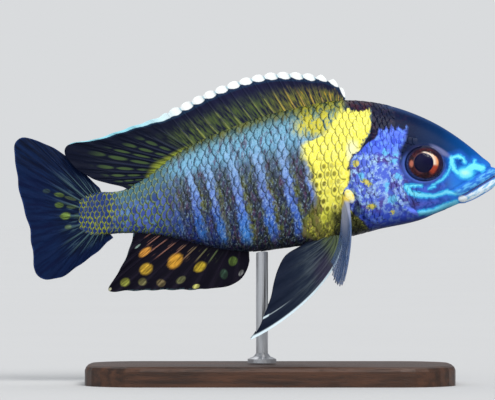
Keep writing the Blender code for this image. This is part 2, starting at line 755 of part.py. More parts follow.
def swing(objects):
    """Bends the fish: points behind BEND_START_X move to its left, more towards the tail's tip."""
    for item in objects:
        for vert in item.data.vertices:
            vert.co.y += swing_at(vert.co.x / MM) * MM


def swing_at(x):
    share = max(0.0, (BEND_START_X - x) / (BEND_START_X - TAIL_TIP_X))
    return TAIL_SWING * share * share


def turned(name, outline, centre_x, centre_y, sides=20):
    """A round solid from (radius, z) steps, bottom to top."""
    turn = 2 * math.pi * np.arange(sides) / sides
    rings = [
        np.stack([centre_x + r * np.cos(turn), centre_y + r * np.sin(turn), np.full(sides, z)], axis=1)
        for r, z in outline
    ]
    return loft(name, rings)


def base_ring(inset, z):
    """The base's rounded outline, drawn in by inset, at height z."""
    ring = []
    for quarter in range(4):
        sx, sy = ((1, 1), (-1, 1), (-1, -1), (1, -1))[quarter]
        for k in range(7):
            turn = math.radians(90 * quarter + 15 * k)
            corner = BASE_CORNER - inset
            ring.append((
                sx * (BASE_LENGTH / 2 - BASE_CORNER) + corner * math.cos(turn),
                sy * (BASE_WIDTH / 2 - BASE_CORNER) + corner * math.sin(turn),
                z,
            ))
    return np.array(ring)


def build_stand():
    """A flat base and one rod that comes up under the belly, between the pelvic fins."""
    base = loft("stand_base", [
        base_ring(0, 0.0),
        base_ring(0, BASE_THICKNESS - BASE_EDGE),
        base_ring(BASE_EDGE * 0.3, BASE_THICKNESS - BASE_EDGE * 0.3),
        base_ring(BASE_EDGE, BASE_THICKNESS),
    ])
    low = BASE_THICKNESS + GAP
    rod = turned("stand_rod", [
        (ROD_COLLAR_RADIUS, low), (ROD_COLLAR_RADIUS, low + ROD_COLLAR_HEIGHT * 0.6),
        (ROD_RADIUS + 0.6, low + ROD_COLLAR_HEIGHT), (ROD_RADIUS, low + ROD_COLLAR_HEIGHT + 0.8),
        (ROD_RADIUS, belly(ROD_X) + 3.0),
    ], ROD_X, swing_at(ROD_X))
    shell = body_shell()
    swing([shell])
    cut(rod, shell)
    remove(shell)
    return [base, rod]


def finish(item):
    """Gives a node its own material and smooth shading that keeps its sharp edges."""
    item.data.materials.clear()
    item.data.materials.append(material(item.name, *FINISHES[item.name.removesuffix("_left").removesuffix("_right")]))
    item.data.shade_smooth()
    item.data.set_sharp_from_angle(angle=SHARP_ANGLE)


def main():
    for item in list(bpy.data.objects):
        bpy.data.objects.remove(item)
    fish = build_body() + build_fins()
    swing(fish)
    for item in fish + build_stand():
        finish(item)


main()
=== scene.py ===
# %% [markdown]
# A male peacock cichlid at life size, as a museum shows one: it swims above a small wooden stand.
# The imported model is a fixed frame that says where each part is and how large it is.
# This script puts finer surfaces in the place of its plain solids and gives every surface its finish.
# Formulas are in millimetres, and the meshes are in metres.

import math

import bpy
import numpy as np
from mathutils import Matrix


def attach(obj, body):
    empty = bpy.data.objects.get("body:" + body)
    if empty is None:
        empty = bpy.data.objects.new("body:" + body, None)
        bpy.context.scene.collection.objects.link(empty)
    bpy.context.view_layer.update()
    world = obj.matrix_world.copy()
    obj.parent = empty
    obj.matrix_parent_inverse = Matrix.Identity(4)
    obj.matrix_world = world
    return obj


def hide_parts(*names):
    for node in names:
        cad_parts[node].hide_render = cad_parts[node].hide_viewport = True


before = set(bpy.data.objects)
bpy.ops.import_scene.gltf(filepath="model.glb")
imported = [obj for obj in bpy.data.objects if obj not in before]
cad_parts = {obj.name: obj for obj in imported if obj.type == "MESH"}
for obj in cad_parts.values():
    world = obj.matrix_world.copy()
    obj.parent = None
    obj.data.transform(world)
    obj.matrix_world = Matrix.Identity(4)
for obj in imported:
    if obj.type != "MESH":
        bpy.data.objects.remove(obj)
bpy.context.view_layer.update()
MM = 0.001
print("nodes in the frame:", len(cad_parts))

# %% [markdown]
# The camera stands level with the fish's middle, on its right side, and looks straight at its flank.
# A short lens would swell the head, and a parallel camera would flatten the fins.
# A long lens from over a metre away keeps the sizes of the parts true and still shows some depth.

# %% Camera
VIEW_CENTRE = (-5.625, 46.0)
VIEW_WIDTH = 123.75
CAMERA_DISTANCE = 1200.0
SENSOR_WIDTH = 36.0

lens = bpy.data.cameras.new("view")
lens.sensor_width = SENSOR_WIDTH
lens.lens = SENSOR_WIDTH * CAMERA_DISTANCE / VIEW_WIDTH
camera = bpy.data.objects.new("view", lens)
bpy.context.scene.collection.objects.link(camera)
camera.location = (VIEW_CENTRE[0] * MM, -CAMERA_DISTANCE * MM, VIEW_CENTRE[1] * MM)
camera.rotation_euler = (math.radians(90), 0, 0)
bpy.context.scene.camera = camera
print("lens:", round(lens.lens), "mm")

# %% [markdown]
# Every new surface here is a grid: two numbers go in, and a point comes out.
# Numpy works out all the points at once, and foreach_set puts them into a mesh in one call.
# Editing by hand would be slower, and a loop over single points in Python would take minutes.
# A closed surface has a volume with a sign, which tells whether its faces point in or out.

# %% Meshes from arrays
def grid_faces(rows, columns, wrap=False):
    """Quads of a grid of points, each from row to row. wrap joins the last column to the first."""
    i, j = np.meshgrid(np.arange(rows - 1), np.arange(columns if wrap else columns - 1), indexing="ij")
    k = (j + 1) % columns
    quads = [i * columns + j, i * columns + k, (i + 1) * columns + k, (i + 1) * columns + j]
    return np.stack(quads, axis=-1).reshape(-1, 4)


def capped_faces(rows, columns):
    """Faces of rings closed by a fan at either end. The two end points come after the rings' own points."""
    count = rows * columns
    column = np.arange(columns)
    following = (column + 1) % columns
    first = np.stack([np.full(columns, count), following, column], axis=1)
    behind = count - columns
    last = np.stack([np.full(columns, count + 1), behind + column, behind + following], axis=1)
    return [grid_faces(rows, columns, wrap=True), first, last]


def room_inside(points, faces):
    """Signed volume: a sixth of the triple products of each face's fan of triangles."""
    total = 0.0
    for a, b in zip(range(1, faces.shape[1] - 1), range(2, faces.shape[1])):
        corners = points[faces[:, 0]], points[faces[:, a]], points[faces[:, b]]
        total += np.einsum("ij,ij->", corners[0], np.cross(corners[1], corners[2])) / 6
    return total


def mesh_piece(name, points, face_groups, material):
    """A smooth piece from points in millimetres and arrays of faces, turned so that they point outwards."""
    points = np.asarray(points, float).reshape(-1, 3)
    if sum(room_inside(points, faces) for faces in face_groups) < 0:
        face_groups = [faces[:, ::-1] for faces in face_groups]
    corners = np.concatenate([faces.ravel() for faces in face_groups])
    sizes = np.concatenate([np.full(len(faces), faces.shape[1]) for faces in face_groups])
    mesh = bpy.data.meshes.new(name)
    mesh.vertices.add(len(points))
    mesh.vertices.foreach_set("co", (points * MM).astype(np.float32).ravel())
    mesh.loops.add(len(corners))
    mesh.loops.foreach_set("vertex_index", corners.astype(np.int32))
    mesh.polygons.add(len(sizes))
    mesh.polygons.foreach_set("loop_start", np.concatenate([[0], np.cumsum(sizes)[:-1]]).astype(np.int32))
    mesh.update(calc_edges=True)
    mesh.polygons.foreach_set("use_smooth", np.full(len(sizes), True))
    mesh.materials.append(material)
    piece = bpy.data.objects.new(name, mesh)
    bpy.context.scene.collection.objects.link(piece)
    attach(piece, "root")
    return piece


def point_map(piece, name, across_up):
    """A UV map from one (u, v) for each point."""
    mesh = piece.data
    owner = np.zeros(len(mesh.loops), np.int32)
    mesh.loops.foreach_get("vertex_index", owner)
    layer = mesh.uv_layers.new(name=name)
    layer.data.foreach_set("uv", np.asarray(across_up, np.float32)[owner].ravel())


def point_value(piece, name, values):
    """A number for each point, which a material reads by name."""
    layer = piece.data.attributes.new(name, "FLOAT", "POINT")
    layer.data.foreach_set("value", np.asarray(values, np.float32).ravel())


def smooth_step(value, low, high):
    """0 up to low, 1 from high on, and between them t squared times (3 minus 2 t)."""
    t = np.clip((value - low) / (high - low), 0, 1)
    return t * t * (3 - 2 * t)


# %% [markdown]
# The body's outline in side view, its half widths and how round it is are a few named points.
# A smooth curve through so few points can be a spline, a Bezier curve or cubic pieces.
# Cubic pieces with slopes from the neighbours are used: they pass through every point without waves.

# %% The body's measures
BACK = [
    (56.2, 53.0), (55.4, 54.7), (53.0, 57.0), (45.0, 63.2), (35.0, 68.2), (27.0, 70.4), (19.0, 71.1),
    (6.0, 69.2), (-10.0, 64.3), (-24.0, 57.5), (-31.0, 52.0), (-37.0, 48.6), (-43.5, 48.2),
]
BELLY = [
    (56.2, 50.6), (55.2, 49.0), (52.0, 46.9), (46.6, 44.6), (38.0, 40.9), (27.0, 38.4), (17.5, 36.1),
    (5.0, 34.0), (-6.0, 32.9), (-17.0, 34.4), (-28.0, 37.0), (-37.0, 37.5), (-43.5, 36.8),
]
HALF_WIDTH = [
    (56.2, 0.8), (55.0, 2.2), (52.0, 3.7), (47.0, 5.1), (42.0, 6.1), (35.0, 7.1), (26.0, 7.9), (14.0, 8.0),
    (2.0, 7.5), (-8.0, 6.6), (-18.0, 5.2), (-28.0, 3.7), (-36.0, 2.6), (-43.5, 1.5),
]
WIDEST_LEVEL = 0.48
BACK_ROUNDNESS = [(56.0, 0.85), (38.0, 0.84), (22.0, 0.98), (0.0, 1.08), (-43.5, 1.0)]
BELLY_ROUNDNESS = [(56.0, 0.85), (38.0, 0.85), (10.0, 0.84), (-6.0, 0.92), (-20.0, 1.05), (-43.5, 1.0)]
SNOUT_X = 56.2
STALK_END_X = -43.5
TAPER_LENGTH = 4.6
TAPER_DROP = 2.0
TAPER_THINNING = 0.97
CURVE_STEPS = 12


def profile(points):
    """A smooth function through (x, value) points: cubic pieces that share their slope at each point."""
    xs, values = np.array(sorted(points), float).T
    slopes = np.gradient(values, xs)

    def value_at(x):
        """The line between two points plus t times (1 minus t) times what the slopes at both ends add."""
        x = np.clip(x, xs[0], xs[-1])
        i = np.clip(np.searchsorted(xs, x) - 1, 0, len(xs) - 2)
        width = xs[i + 1] - xs[i]
        t = (x - xs[i]) / width
        rise = values[i + 1] - values[i]
        first = slopes[i] * width - rise
        last = rise - slopes[i + 1] * width
        return values[i] + rise * t + t * (1 - t) * ((1 - t) * first + t * last)

    return value_at


def curve(points):
    """A smooth curve through points, as a function of the share of its length: a profile for each axis."""
    points = np.array(points, float)
    chords = np.linalg.norm(np.diff(points, axis=0), axis=1)
    at = np.concatenate([[0.0], np.cumsum(chords)])
    fine = np.linspace(0, at[-1], CURVE_STEPS * len(points))
    dense = np.stack([profile(list(zip(at, values)))(fine) for values in points.T], axis=1)
    length = np.concatenate([[0.0], np.cumsum(np.linalg.norm(np.diff(dense, axis=0), axis=1))])
    length /= length[-1]
    return lambda share: np.stack([np.interp(share, length, values) for values in dense.T], axis=-1)


back_line = profile(BACK)
belly_line = profile(BELLY)
width_line = profile(HALF_WIDTH)
back_roundness = profile(BACK_ROUNDNESS)
belly_roundness = profile(BELLY_ROUNDNESS)


def taper(x):
    """From 0 at the tail stalk's end to 1 where the flesh has thinned away between the tail fin's rays."""
    return np.clip((STALK_END_X - x) / TAPER_LENGTH, 0, 1)


def back(x):
    """Height of the back's outline, less the taper's drop times the square of the taper."""
    return back_line(x) - TAPER_DROP * taper(x) ** 2


def belly(x):
    """Height of the belly's outline, raised as the back's is lowered."""
    return belly_line(x) + TAPER_DROP * taper(x) ** 2


def half_width(x):
    """Half the body's width, times the root of 1 less the thinning times the taper to the power 1.5."""
    return width_line(x) * np.sqrt(1 - TAPER_THINNING * taper(x) ** 1.5)


def ring(x, angle, out=0.0):
    """A point of the body at station x and angle round it, moved out by a distance.

    y is the half width times a power of the angle's sine. z is the widest level plus the reach to the
    back, or the belly, times the angle's cosine.
    """
    low, high = belly(x) - out, back(x) + out
    middle = low + WIDEST_LEVEL * (high - low)
    across, up = np.sin(angle), np.cos(angle)
    power = np.where(up > 0, back_roundness(x), belly_roundness(x))
    y = (half_width(x) + out) * np.sign(across) * np.abs(across) ** power
    z = middle + np.where(up > 0, high - middle, middle - low) * up
    return np.stack(np.broadcast_arrays(x, y, z), axis=-1)


def side_at(x, z):
    """How far the body's surface stands from its middle plane at (x, z)."""
    middle = belly(x) + WIDEST_LEVEL * (back(x) - belly(x))
    share = np.where(z > middle, (z - middle) / (back(x) - middle), (middle - z) / (middle - belly(x)))
    power = np.where(z > middle, back_roundness(x), belly_roundness(x))
    return half_width(x) * np.maximum(0.0, 1 - share * share) ** (power / 2)


stations = np.linspace(STALK_END_X, SNOUT_X, 200)
print("deepest:", round(float((back(stations) - belly(stations)).max()), 1), "mm")
print("widest:", round(float(2 * half_width(stations).max()), 1), "mm")

# %% [markdown]
# The swimming fish carries its tail a little to its left.
# A lattice or an armature could bend the finished pieces, but then each piece would need it.
# One formula moves every point sideways instead, by the square of its distance behind the bend's start.

# %% The swing of the tail
BEND_START_X = 12.0
TAIL_TIP_X = -63.6
TAIL_SWING = 3.2


def swung(points):
    """The points with y moved by the swing times the square of their share of the way to the tail's tip."""
    points = np.array(points, float)
    share = np.maximum(0.0, (BEND_START_X - points[..., 0]) / (BEND_START_X - TAIL_TIP_X))
    points[..., 1] += TAIL_SWING * share * share
    return points


print("swing at the tip:", float(swung([TAIL_TIP_X, 0, 0])[1]), "mm")

# %% [markdown]
# Colours here are given as the eye reads them, from 0 to 255, and Blender wants them as amounts of light.
# Shader maths is long to write one node at a time, so a small class lets plain arithmetic add the nodes.
# A value that changes over the surface is a Wire, and what is the same all over stays on the shader.

# %% Shader arithmetic
def tint(red, green, blue):
    """A colour from 0 to 255 as light: the sRGB curve undone, channel by channel."""
    shares = np.array([red, green, blue], float) / 255
    light = np.where(shares <= 0.04045, shares / 12.92, ((shares + 0.055) / 1.055) ** 2.4)
    return (*(float(v) for v in light), 1.0)


def plug(tree, value, socket):
    """Links a Wire to a socket, or sets the socket to a plain value."""
    if isinstance(value, Wire):
        tree.links.new(value.socket, socket)
    else:
        socket.default_value = value


def add_node(tree, kind, values, output=0, **settings):
    """A node with its settings and its inputs, by name or number, and one of its outputs as a Wire."""
    node = tree.nodes.new("ShaderNode" + kind)
    for setting, value in settings.items():
        setattr(node, setting, value)
    for socket, value in values.items():
        plug(tree, value, node.inputs[socket])
    return Wire(tree, node.outputs[output])


def maths(operation, turned=False):
    """A method that adds a Math node for a Wire and other values. turned puts the Wire last."""
    def method(self, *others):
        values = (*others, self) if turned else (self, *others)
        return add_node(self.tree, "Math", dict(enumerate(values)), operation=operation)

    return method


class Wire:
    """A value that runs through a shader. Arithmetic on it adds Math nodes to its tree."""

    def __init__(self, tree, socket):
        self.tree = tree
        self.socket = socket

    __add__ = __radd__ = maths("ADD")
    __sub__ = maths("SUBTRACT")
    __rsub__ = maths("SUBTRACT", turned=True)
    __mul__ = __rmul__ = maths("MULTIPLY")
    __truediv__ = maths("DIVIDE")
    __pow__ = maths("POWER")
    least = maths("MINIMUM")
    most = maths("MAXIMUM")
    abs = maths("ABSOLUTE")
    root = maths("SQRT")
    cos = maths("COSINE")
    floor = maths("FLOOR")
    fract = maths("FRACT")

    def step(self, low, high):
        """0 at low and 1 at high, smoothly. low may be the larger one."""
        values = {"Value": self, "From Min": low, "From Max": high}
        return add_node(self.tree, "MapRange", values, "Result", interpolation_type="SMOOTHSTEP")

    def follow(self, points):
        """A smooth function of this value through a few (value, result) points."""
        points = sorted(points)
        first, last = points[0][0], points[-1][0]
        low, high = min(p[1] for p in points), max(p[1] for p in points)
        node = self.tree.nodes.new("ShaderNodeFloatCurve")
        line = node.mapping.curves[0]
        for at, result in points[1:-1]:
            line.points.new((at - first) / (last - first), (result - low) / (high - low))
        line.points[0].location = (0.0, (points[0][1] - low) / (high - low))
        line.points[-1].location = (1.0, (points[-1][1] - low) / (high - low))
        node.mapping.update()
        plug(self.tree, (self - first) / (last - first), node.inputs["Value"])
        return Wire(self.tree, node.outputs["Value"]) * (high - low) + low

    def ramp(self, stops):
        """A colour between stops, each a value and a colour in its three screen values."""
        stops = [(place, tint(*shade)) for place, shade in stops]
        node = self.tree.nodes.new("ShaderNodeValToRGB")
        marks = node.color_ramp.elements
        marks[0].position, marks[0].color = stops[0]
        marks[1].position, marks[1].color = stops[-1]
        for place, colour in stops[1:-1]:
            marks.new(place).color = colour
        plug(self.tree, self, node.inputs["Fac"])
        return Wire(self.tree, node.outputs["Color"])


MIX_AMOUNT, MIX_FIRST, MIX_SECOND, MIX_RESULT = 0, 6, 7, 2


def mix(amount, first, second):
    """The first colour where amount is 0 and the second where it is 1. Either may be three screen values."""
    first, second = (tint(*colour) if isinstance(colour, tuple) else colour for colour in (first, second))
    values = {MIX_AMOUNT: amount, MIX_FIRST: first, MIX_SECOND: second}
    return add_node(amount.tree, "Mix", values, MIX_RESULT, data_type="RGBA")


def new_group(name, inputs):
    """A node group whose inputs are given with their defaults, and those inputs as Wires."""
    kinds = {float: "NodeSocketFloat", tuple: "NodeSocketVector"}
    tree = bpy.data.node_groups.new(name, "ShaderNodeTree")
    for socket, default in inputs.items():
        made = tree.interface.new_socket(socket, in_out="INPUT", socket_type=kinds[type(default)])
        made.default_value = default
    given = tree.nodes.new("NodeGroupInput")
    return tree, {socket: Wire(tree, given.outputs[socket]) for socket in inputs}


def close_group(tree, outputs):
    """Adds a group's outputs and plugs them: a colour where the name is Color, and numbers otherwise."""
    for socket in outputs:
        kind = "NodeSocketColor" if socket == "Color" else "NodeSocketFloat"
        tree.interface.new_socket(socket, in_out="OUTPUT", socket_type=kind)
    result = tree.nodes.new("NodeGroupOutput")
    for socket, value in outputs.items():
        plug(tree, value, result.inputs[socket])
    return tree


def use_group(tree, group, values):
    """Places a group in a tree, plugs its inputs and returns its outputs by name."""
    node = tree.nodes.new("ShaderNodeGroup")
    node.node_tree = group
    for socket, value in values.items():
        plug(tree, value, node.inputs[socket])
    return {s.name: Wire(tree, s) for s in node.outputs}


def split(vector):
    """The x, y and z of a vector."""
    node = vector.tree.nodes.new("ShaderNodeSeparateXYZ")
    plug(vector.tree, vector, node.inputs[0])
    return [Wire(vector.tree, s) for s in node.outputs]


def joined(*parts):
    """A vector from two or three numbers."""
    return add_node(parts[0].tree, "CombineXYZ", dict(enumerate(parts)))


def scaled(vector, by):
    """A vector times a vector, axis by axis."""
    return add_node(vector.tree, "VectorMath", {0: vector, 1: by}, operation="MULTIPLY")


def noise(vector, scale, detail=2.0, roughness=0.5):
    """Soft random values around 0.5. scale is how many lumps one unit of the vector holds."""
    values = {"Vector": vector, "Scale": scale, "Detail": detail, "Roughness": roughness}
    return add_node(vector.tree, "TexNoise", values, "Fac")


def bump(tree, height, distance, strength=1.0):
    """The normal that a height in the shader gives. distance is in metres."""
    values = {"Distance": distance, "Strength": strength, "Height": height}
    return add_node(tree, "Bump", values, "Normal")


def dress(made, **sockets):
    """Plugs the sockets of a material's shader and gives the material back."""
    shader = made.node_tree.nodes["Principled BSDF"]
    for socket, value in sockets.items():
        plug(made.node_tree, value, shader.inputs[socket.replace("_", " ")])
    return made


def new_material(name, **sockets):
    """A Principled material and its tree. What is the same all over is set on the shader itself."""
    made = bpy.data.materials.new(name)
    made.use_nodes = True
    return dress(made, **sockets), made.node_tree


def object_millimetres(tree):
    """The place on the object, in millimetres."""
    return scaled(add_node(tree, "TexCoord", {}, "Object"), (1 / MM, 1 / MM, 1 / MM))


def own_map(tree, name):
    """The piece's own UV map, as its two numbers."""
    return split(add_node(tree, "UVMap", {}, "UV", uv_map=name))[:2]


def own_value(tree, name):
    """A number that the piece's points carry."""
    return add_node(tree, "Attribute", {}, "Fac", attribute_name=name)


print("a mid grey of the screen is", round(tint(128, 128, 128)[0], 3), "as light")

# %% [markdown]
# The skin carries the colours of the living fish, and the scales over it carry the same ones.
# A picture wrapped round the fish would blur close up, and it would come from a single side.
# The markings are worked out from the place on the body instead, in one node group for skin and scales.
# Each border, such as the yellow collar's, is a curve through a few (height, place along) points.

# %% Borders and strokes of the markings
COLLAR_FRONT = [
    (36.0, 26.5), (39.0, 24.5), (41.5, 22.6), (44.75, 19.4), (48.1, 18.3), (50.75, 19.7), (55.3, 19.9),
    (57.9, 21.7), (60.25, 23.3), (62.8, 24.7), (67.75, 25.25), (72.0, 25.2),
]
COLLAR_REAR = [
    (36.0, 10.5), (38.7, 8.9), (41.4, 9.3), (44.1, 10.8), (48.1, 11.2), (51.4, 10.5), (54.75, 9.2),
    (57.3, 8.4), (59.8, 8.8), (61.6, 13.0), (64.5, 14.8), (67.75, 17.7), (72.0, 19.0),
]
VIOLET_FRONT = [
    (38.0, 37.5), (44.75, 35.6), (49.25, 33.8), (52.4, 33.0), (54.65, 32.4), (57.9, 32.6),
    (60.25, 33.6), (62.8, 34.4), (65.0, 34.6),
]
VIOLET_TOP = 64.0
BAR_PHASE = [
    (-34.0, -3.3), (-28.5, -2.2), (-23.0, -1.2), (-17.2, 0.0), (-11.0, 1.0), (-4.2, 2.0),
    (2.2, 3.0), (8.2, 4.0), (14.0, 5.0), (20.0, 6.0),
]
BAR_SLANT = 0.225
BAR_LEVEL = 61.0

# Each stroke of light blue on the face: its points (x, z) and its half width.
FACE_STROKES = [
    ([(45.2, 56.4), (45.3, 55.0), (45.9, 53.5), (46.9, 52.7)], 0.62),
    ([(45.6, 56.6), (46.9, 57.0), (47.9, 56.4), (48.5, 55.4)], 0.5),
    ([(48.9, 53.2), (50.6, 54.4), (52.8, 53.9)], 0.95),
    ([(50.7, 54.6), (51.0, 55.8)], 0.4),
    ([(45.0, 55.4), (44.8, 54.0), (44.2, 52.7), (42.9, 51.1), (41.3, 50.2), (40.4, 49.7)], 0.28),
    ([(33.9, 49.2), (34.8, 47.9), (36.5, 47.3), (38.7, 47.1)], 0.66),
    ([(38.7, 47.1), (41.3, 47.1), (43.9, 48.0), (46.4, 47.6), (48.9, 48.5)], 0.5),
    ([(34.6, 49.5), (37.6, 49.7)], 0.38),
    ([(39.6, 48.9), (41.0, 49.3)], 0.3),
    ([(37.5, 42.8), (40.8, 43.3), (43.4, 44.4), (46.4, 45.4)], 0.7),
]
# Each oval: its centre (x, z), its half length, its half height and, where it slopes, its rise along.
BRIGHT_BLOB = (48.7, 52.7, 2.2, 1.6)
BLOB_HEART = (48.6, 52.8, 1.2, 0.8)
WHITE_CORNER = (48.1, 46.3, 1.2, 0.85)
CHEEK_WEDGE = (35.6, 43.2, 1.5, 0.7, -0.7)
BROW = (42.4, 58.2, 2.4, 0.8, -0.55)
# The oval behind the gill cover's lower rear corner is painted shade: it darkens the groove under the cover's
# edge.
COVER_HOLLOW_SHADE = (21.5, 43.3, 0.95, 2.5)
PALE_COLLAR = (20.4, 58.2, 1.6, 2.8)
YELLOW_SPOTS = [
    (21.3, 55.0, 1.0, 0.9), (24.0, 50.4, 1.35, 0.7, -0.5), (25.2, 44.4, 1.2, 0.85), (30.5, 43.0, 0.6, 0.5),
]
CYAN_SPOTS = [
    (30.8, 55.6, 0.8, 0.6), (31.8, 51.7, 0.9, 0.7), (28.7, 57.7, 0.8, 0.5), (30.5, 45.9, 1.2, 1.1),
    (29.0, 49.5, 0.5, 1.2), (22.5, 52.0, 0.8, 0.6), (31.2, 57.6, 0.6, 0.5),
]
MOUTH_FRONT = (56.6, 52.0)
MOUTH_CORNER = (47.4, 46.5)
EYE_CENTRE = (38.1, 54.9)
EYE_RING = (*EYE_CENTRE, 5.2, 4.7)
YOLK = (232, 206, 64)


def segment_group():
    """How far a point is from a straight stroke: the point less its nearest place on it, as a length."""
    names = ("X", "Z", "From X", "From Z", "To X", "To Z")
    tree, given = new_group("stroke_distance", dict.fromkeys(names, 0.0))
    dx, dz = given["To X"] - given["From X"], given["To Z"] - given["From Z"]
    px, pz = given["X"] - given["From X"], given["Z"] - given["From Z"]
    share = ((px * dx + pz * dz) / (dx * dx + dz * dz)).most(0.0).least(1.0)
    ox, oz = px - share * dx, pz - share * dz
    return close_group(tree, {"Distance": (ox * ox + oz * oz).root()})


STROKE = segment_group()


def stroke_distance(x, z, points):
    """The least distance to a row of straight strokes."""
    nearest = None
    for start, end in zip(points[:-1], points[1:]):
        values = {"X": x, "Z": z, "From X": start[0], "From Z": start[1], "To X": end[0], "To Z": end[1]}
        found = use_group(x.tree, STROKE, values)["Distance"]
        nearest = found if nearest is None else nearest.least(found)
    return nearest


def spot(x, z, centre_x, centre_z, half_length, half_height, slope=0.0):
    """Distance from an oval's centre as a share of its half sizes: the root of two squares."""
    across = (x - centre_x) / half_length
    up = (z - centre_z - (x - centre_x) * slope) / half_height
    return (across * across + up * up).root()


print("strokes on the face:", len(FACE_STROKES))

# %% [markdown]
# The flank is olive grey with light blue bars that lean forward as they run down.
# The collar is clear yellow in front and breaks up into dark spots, one for each scale, below and behind.
# Each region is a function that lays its colours over the ones before it, as a painter would.
# Rim, Spot and Tone let a scale take part: its rim's colour, its dark centre and its own brightness.

# %% The colours of flank, stalk and collar
class Fields:
    """The numbers that every region starts from: the place, the scale's own numbers and some noise.

    xw and zw are the place shaken a little, so that borders come out ragged.
    level runs from 0 at the belly's outline to 1 at the back's.
    """

    def __init__(self, given):
        """Reads the group's inputs and adds the noises."""
        self.place = given["Place"]
        self.rim, self.heart, self.tone = given["Rim"], given["Spot"], given["Tone"]
        self.fleck = noise(self.place, 0.75, 3.0, 0.6)
        self.grain = noise(self.place, 2.6, 2.0, 0.6)
        self.cloud = noise(self.place, 0.32, 3.0, 0.55)
        self.streak = noise(scaled(self.place, (1.0, 0.3, 0.28)), 1.15, 3.0, 0.62)
        self.weave = noise(scaled(self.place, (1.0, 0.5, 0.55)), 2.4, 3.0, 0.7)
        self.x, self.y, self.z = split(self.place)
        self.xw = self.x + (noise(self.place, 0.16, 3.0) - 0.5) * 3.0 + (self.fleck - 0.5) * 1.6
        self.zw = self.z + (noise(self.place, 0.4, 2.0) - 0.5) * 2.4
        top, bottom = self.x.follow(BACK), self.x.follow(BELLY)
        self.level = (self.z - bottom) / (top - bottom)


def flank_colour(at):
    """Olive grey and brown between the bars, and the bars with an olive line along their front edges."""
    level = at.level
    between = level.ramp([
        (0.0, (8, 15, 34)), (0.14, (22, 34, 66)), (0.3, (42, 52, 78)), (0.5, (54, 62, 84)),
        (0.66, (80, 104, 132)), (0.78, (122, 182, 218)), (0.92, (112, 164, 184)),
        (1.0, (60, 76, 60)),
    ])
    between = mix(at.streak.step(0.5, 0.64) * 0.75, between, (84, 52, 82))
    between = mix(at.streak.step(0.44, 0.34) * level.step(0.85, 0.6) * 0.5, between, (106, 116, 54))
    between = mix(at.rim * (level.step(0.85, 0.6) * 0.2 + 0.08), between, (104, 116, 76))
    leaning = at.xw + (at.zw - BAR_LEVEL) * BAR_SLANT + (at.streak - 0.5) * 1.2
    phase = leaning.follow(BAR_PHASE)
    wave = (phase * (2 * math.pi)).cos()
    reach = level.step(0.97, 0.72) * level.step(0.03, 0.14)
    reach = reach * leaning.step(-30.0, -22.0) * leaning.step(12.5, 9.5)
    bar = wave.step(-0.1, 0.85) * reach * (at.fleck * 0.5 + at.tone * 0.35 + 0.5)
    bar_colour = level.ramp([
        (0.0, (30, 68, 150)), (0.22, (62, 108, 212)), (0.45, (106, 138, 218)),
        (0.66, (132, 172, 220)), (0.82, (128, 184, 216)), (1.0, (106, 150, 164)),
    ])
    light = (at.grain * 0.4 + at.fleck * 0.3 + at.weave * 0.3).step(0.49, 0.62)
    bar_colour = mix(light * 0.7, bar_colour, (158, 192, 248))
    colour = mix((bar * (1.0 - at.rim * 0.4)).least(1.0), between, bar_colour)
    glint = (at.grain * 0.6 + at.fleck * 0.4).step(0.58, 0.68)
    glint = glint * level.step(0.6, 0.72) * level.step(0.96, 0.88) * at.x.step(4.0, -5.0)
    colour = mix(glint * 0.75, colour, (120, 186, 220))
    line = ((phase - 0.27) * (2 * math.pi)).cos().step(0.5, 0.95) * reach * level.step(0.66, 0.45)
    colour = mix(line * at.fleck.step(0.35, 0.6) * 0.65, colour, (122, 130, 48))
    azure = bar * level.step(0.36, 0.12) * at.x.step(3.0, -6.0)
    colour = mix(azure.least(1.0) * 0.75, colour, (66, 146, 230))
    low_rear = at.x.step(-6.0, -16.0) * level.step(0.42, 0.2) * at.x.step(-34.0, -28.0)
    colour = mix(low_rear * at.fleck.step(0.3, 0.65) * 0.7, colour, (28, 60, 148))
    colour = mix(at.weave.step(0.49, 0.34) * 0.52, colour, (22, 24, 42))
    return mix(at.weave.step(0.52, 0.7) * 0.55, colour, (164, 192, 212))


def stalk_over(at, colour):
    """The stalk's scales: blue hearts in wide yellow-green rims, brightest at the tail fin's root."""
    heart = mix(at.tone.step(0.2, 0.8), (46, 62, 132), (78, 100, 178))
    heart = mix(at.fleck.step(0.52, 0.68) * 0.7, heart, (110, 156, 196))
    heart = mix(at.level.step(0.45, 0.9), heart, (74, 112, 128))
    edge = mix(at.level.step(0.25, 0.85), (118, 142, 74), (140, 162, 128))
    edge = mix(at.grain.step(0.5, 0.62) * 0.5, edge, (72, 84, 62))
    stalk = mix(at.rim.step(0.02, 0.6) * 0.9, heart, edge)
    colour = mix(at.xw.step(-21.0, -29.0), colour, stalk)
    wet_edge = (at.rim * 0.8 + (at.fleck - 0.4) * 1.2).step(0.1, 0.62)
    wet_edge = wet_edge * (at.cloud.step(0.36, 0.6) * 0.6 + 0.4)
    tail_end = mix(wet_edge, (34, 56, 120), (156, 168, 58))
    return mix(at.xw.step(-36.5, -40.5), colour, tail_end)


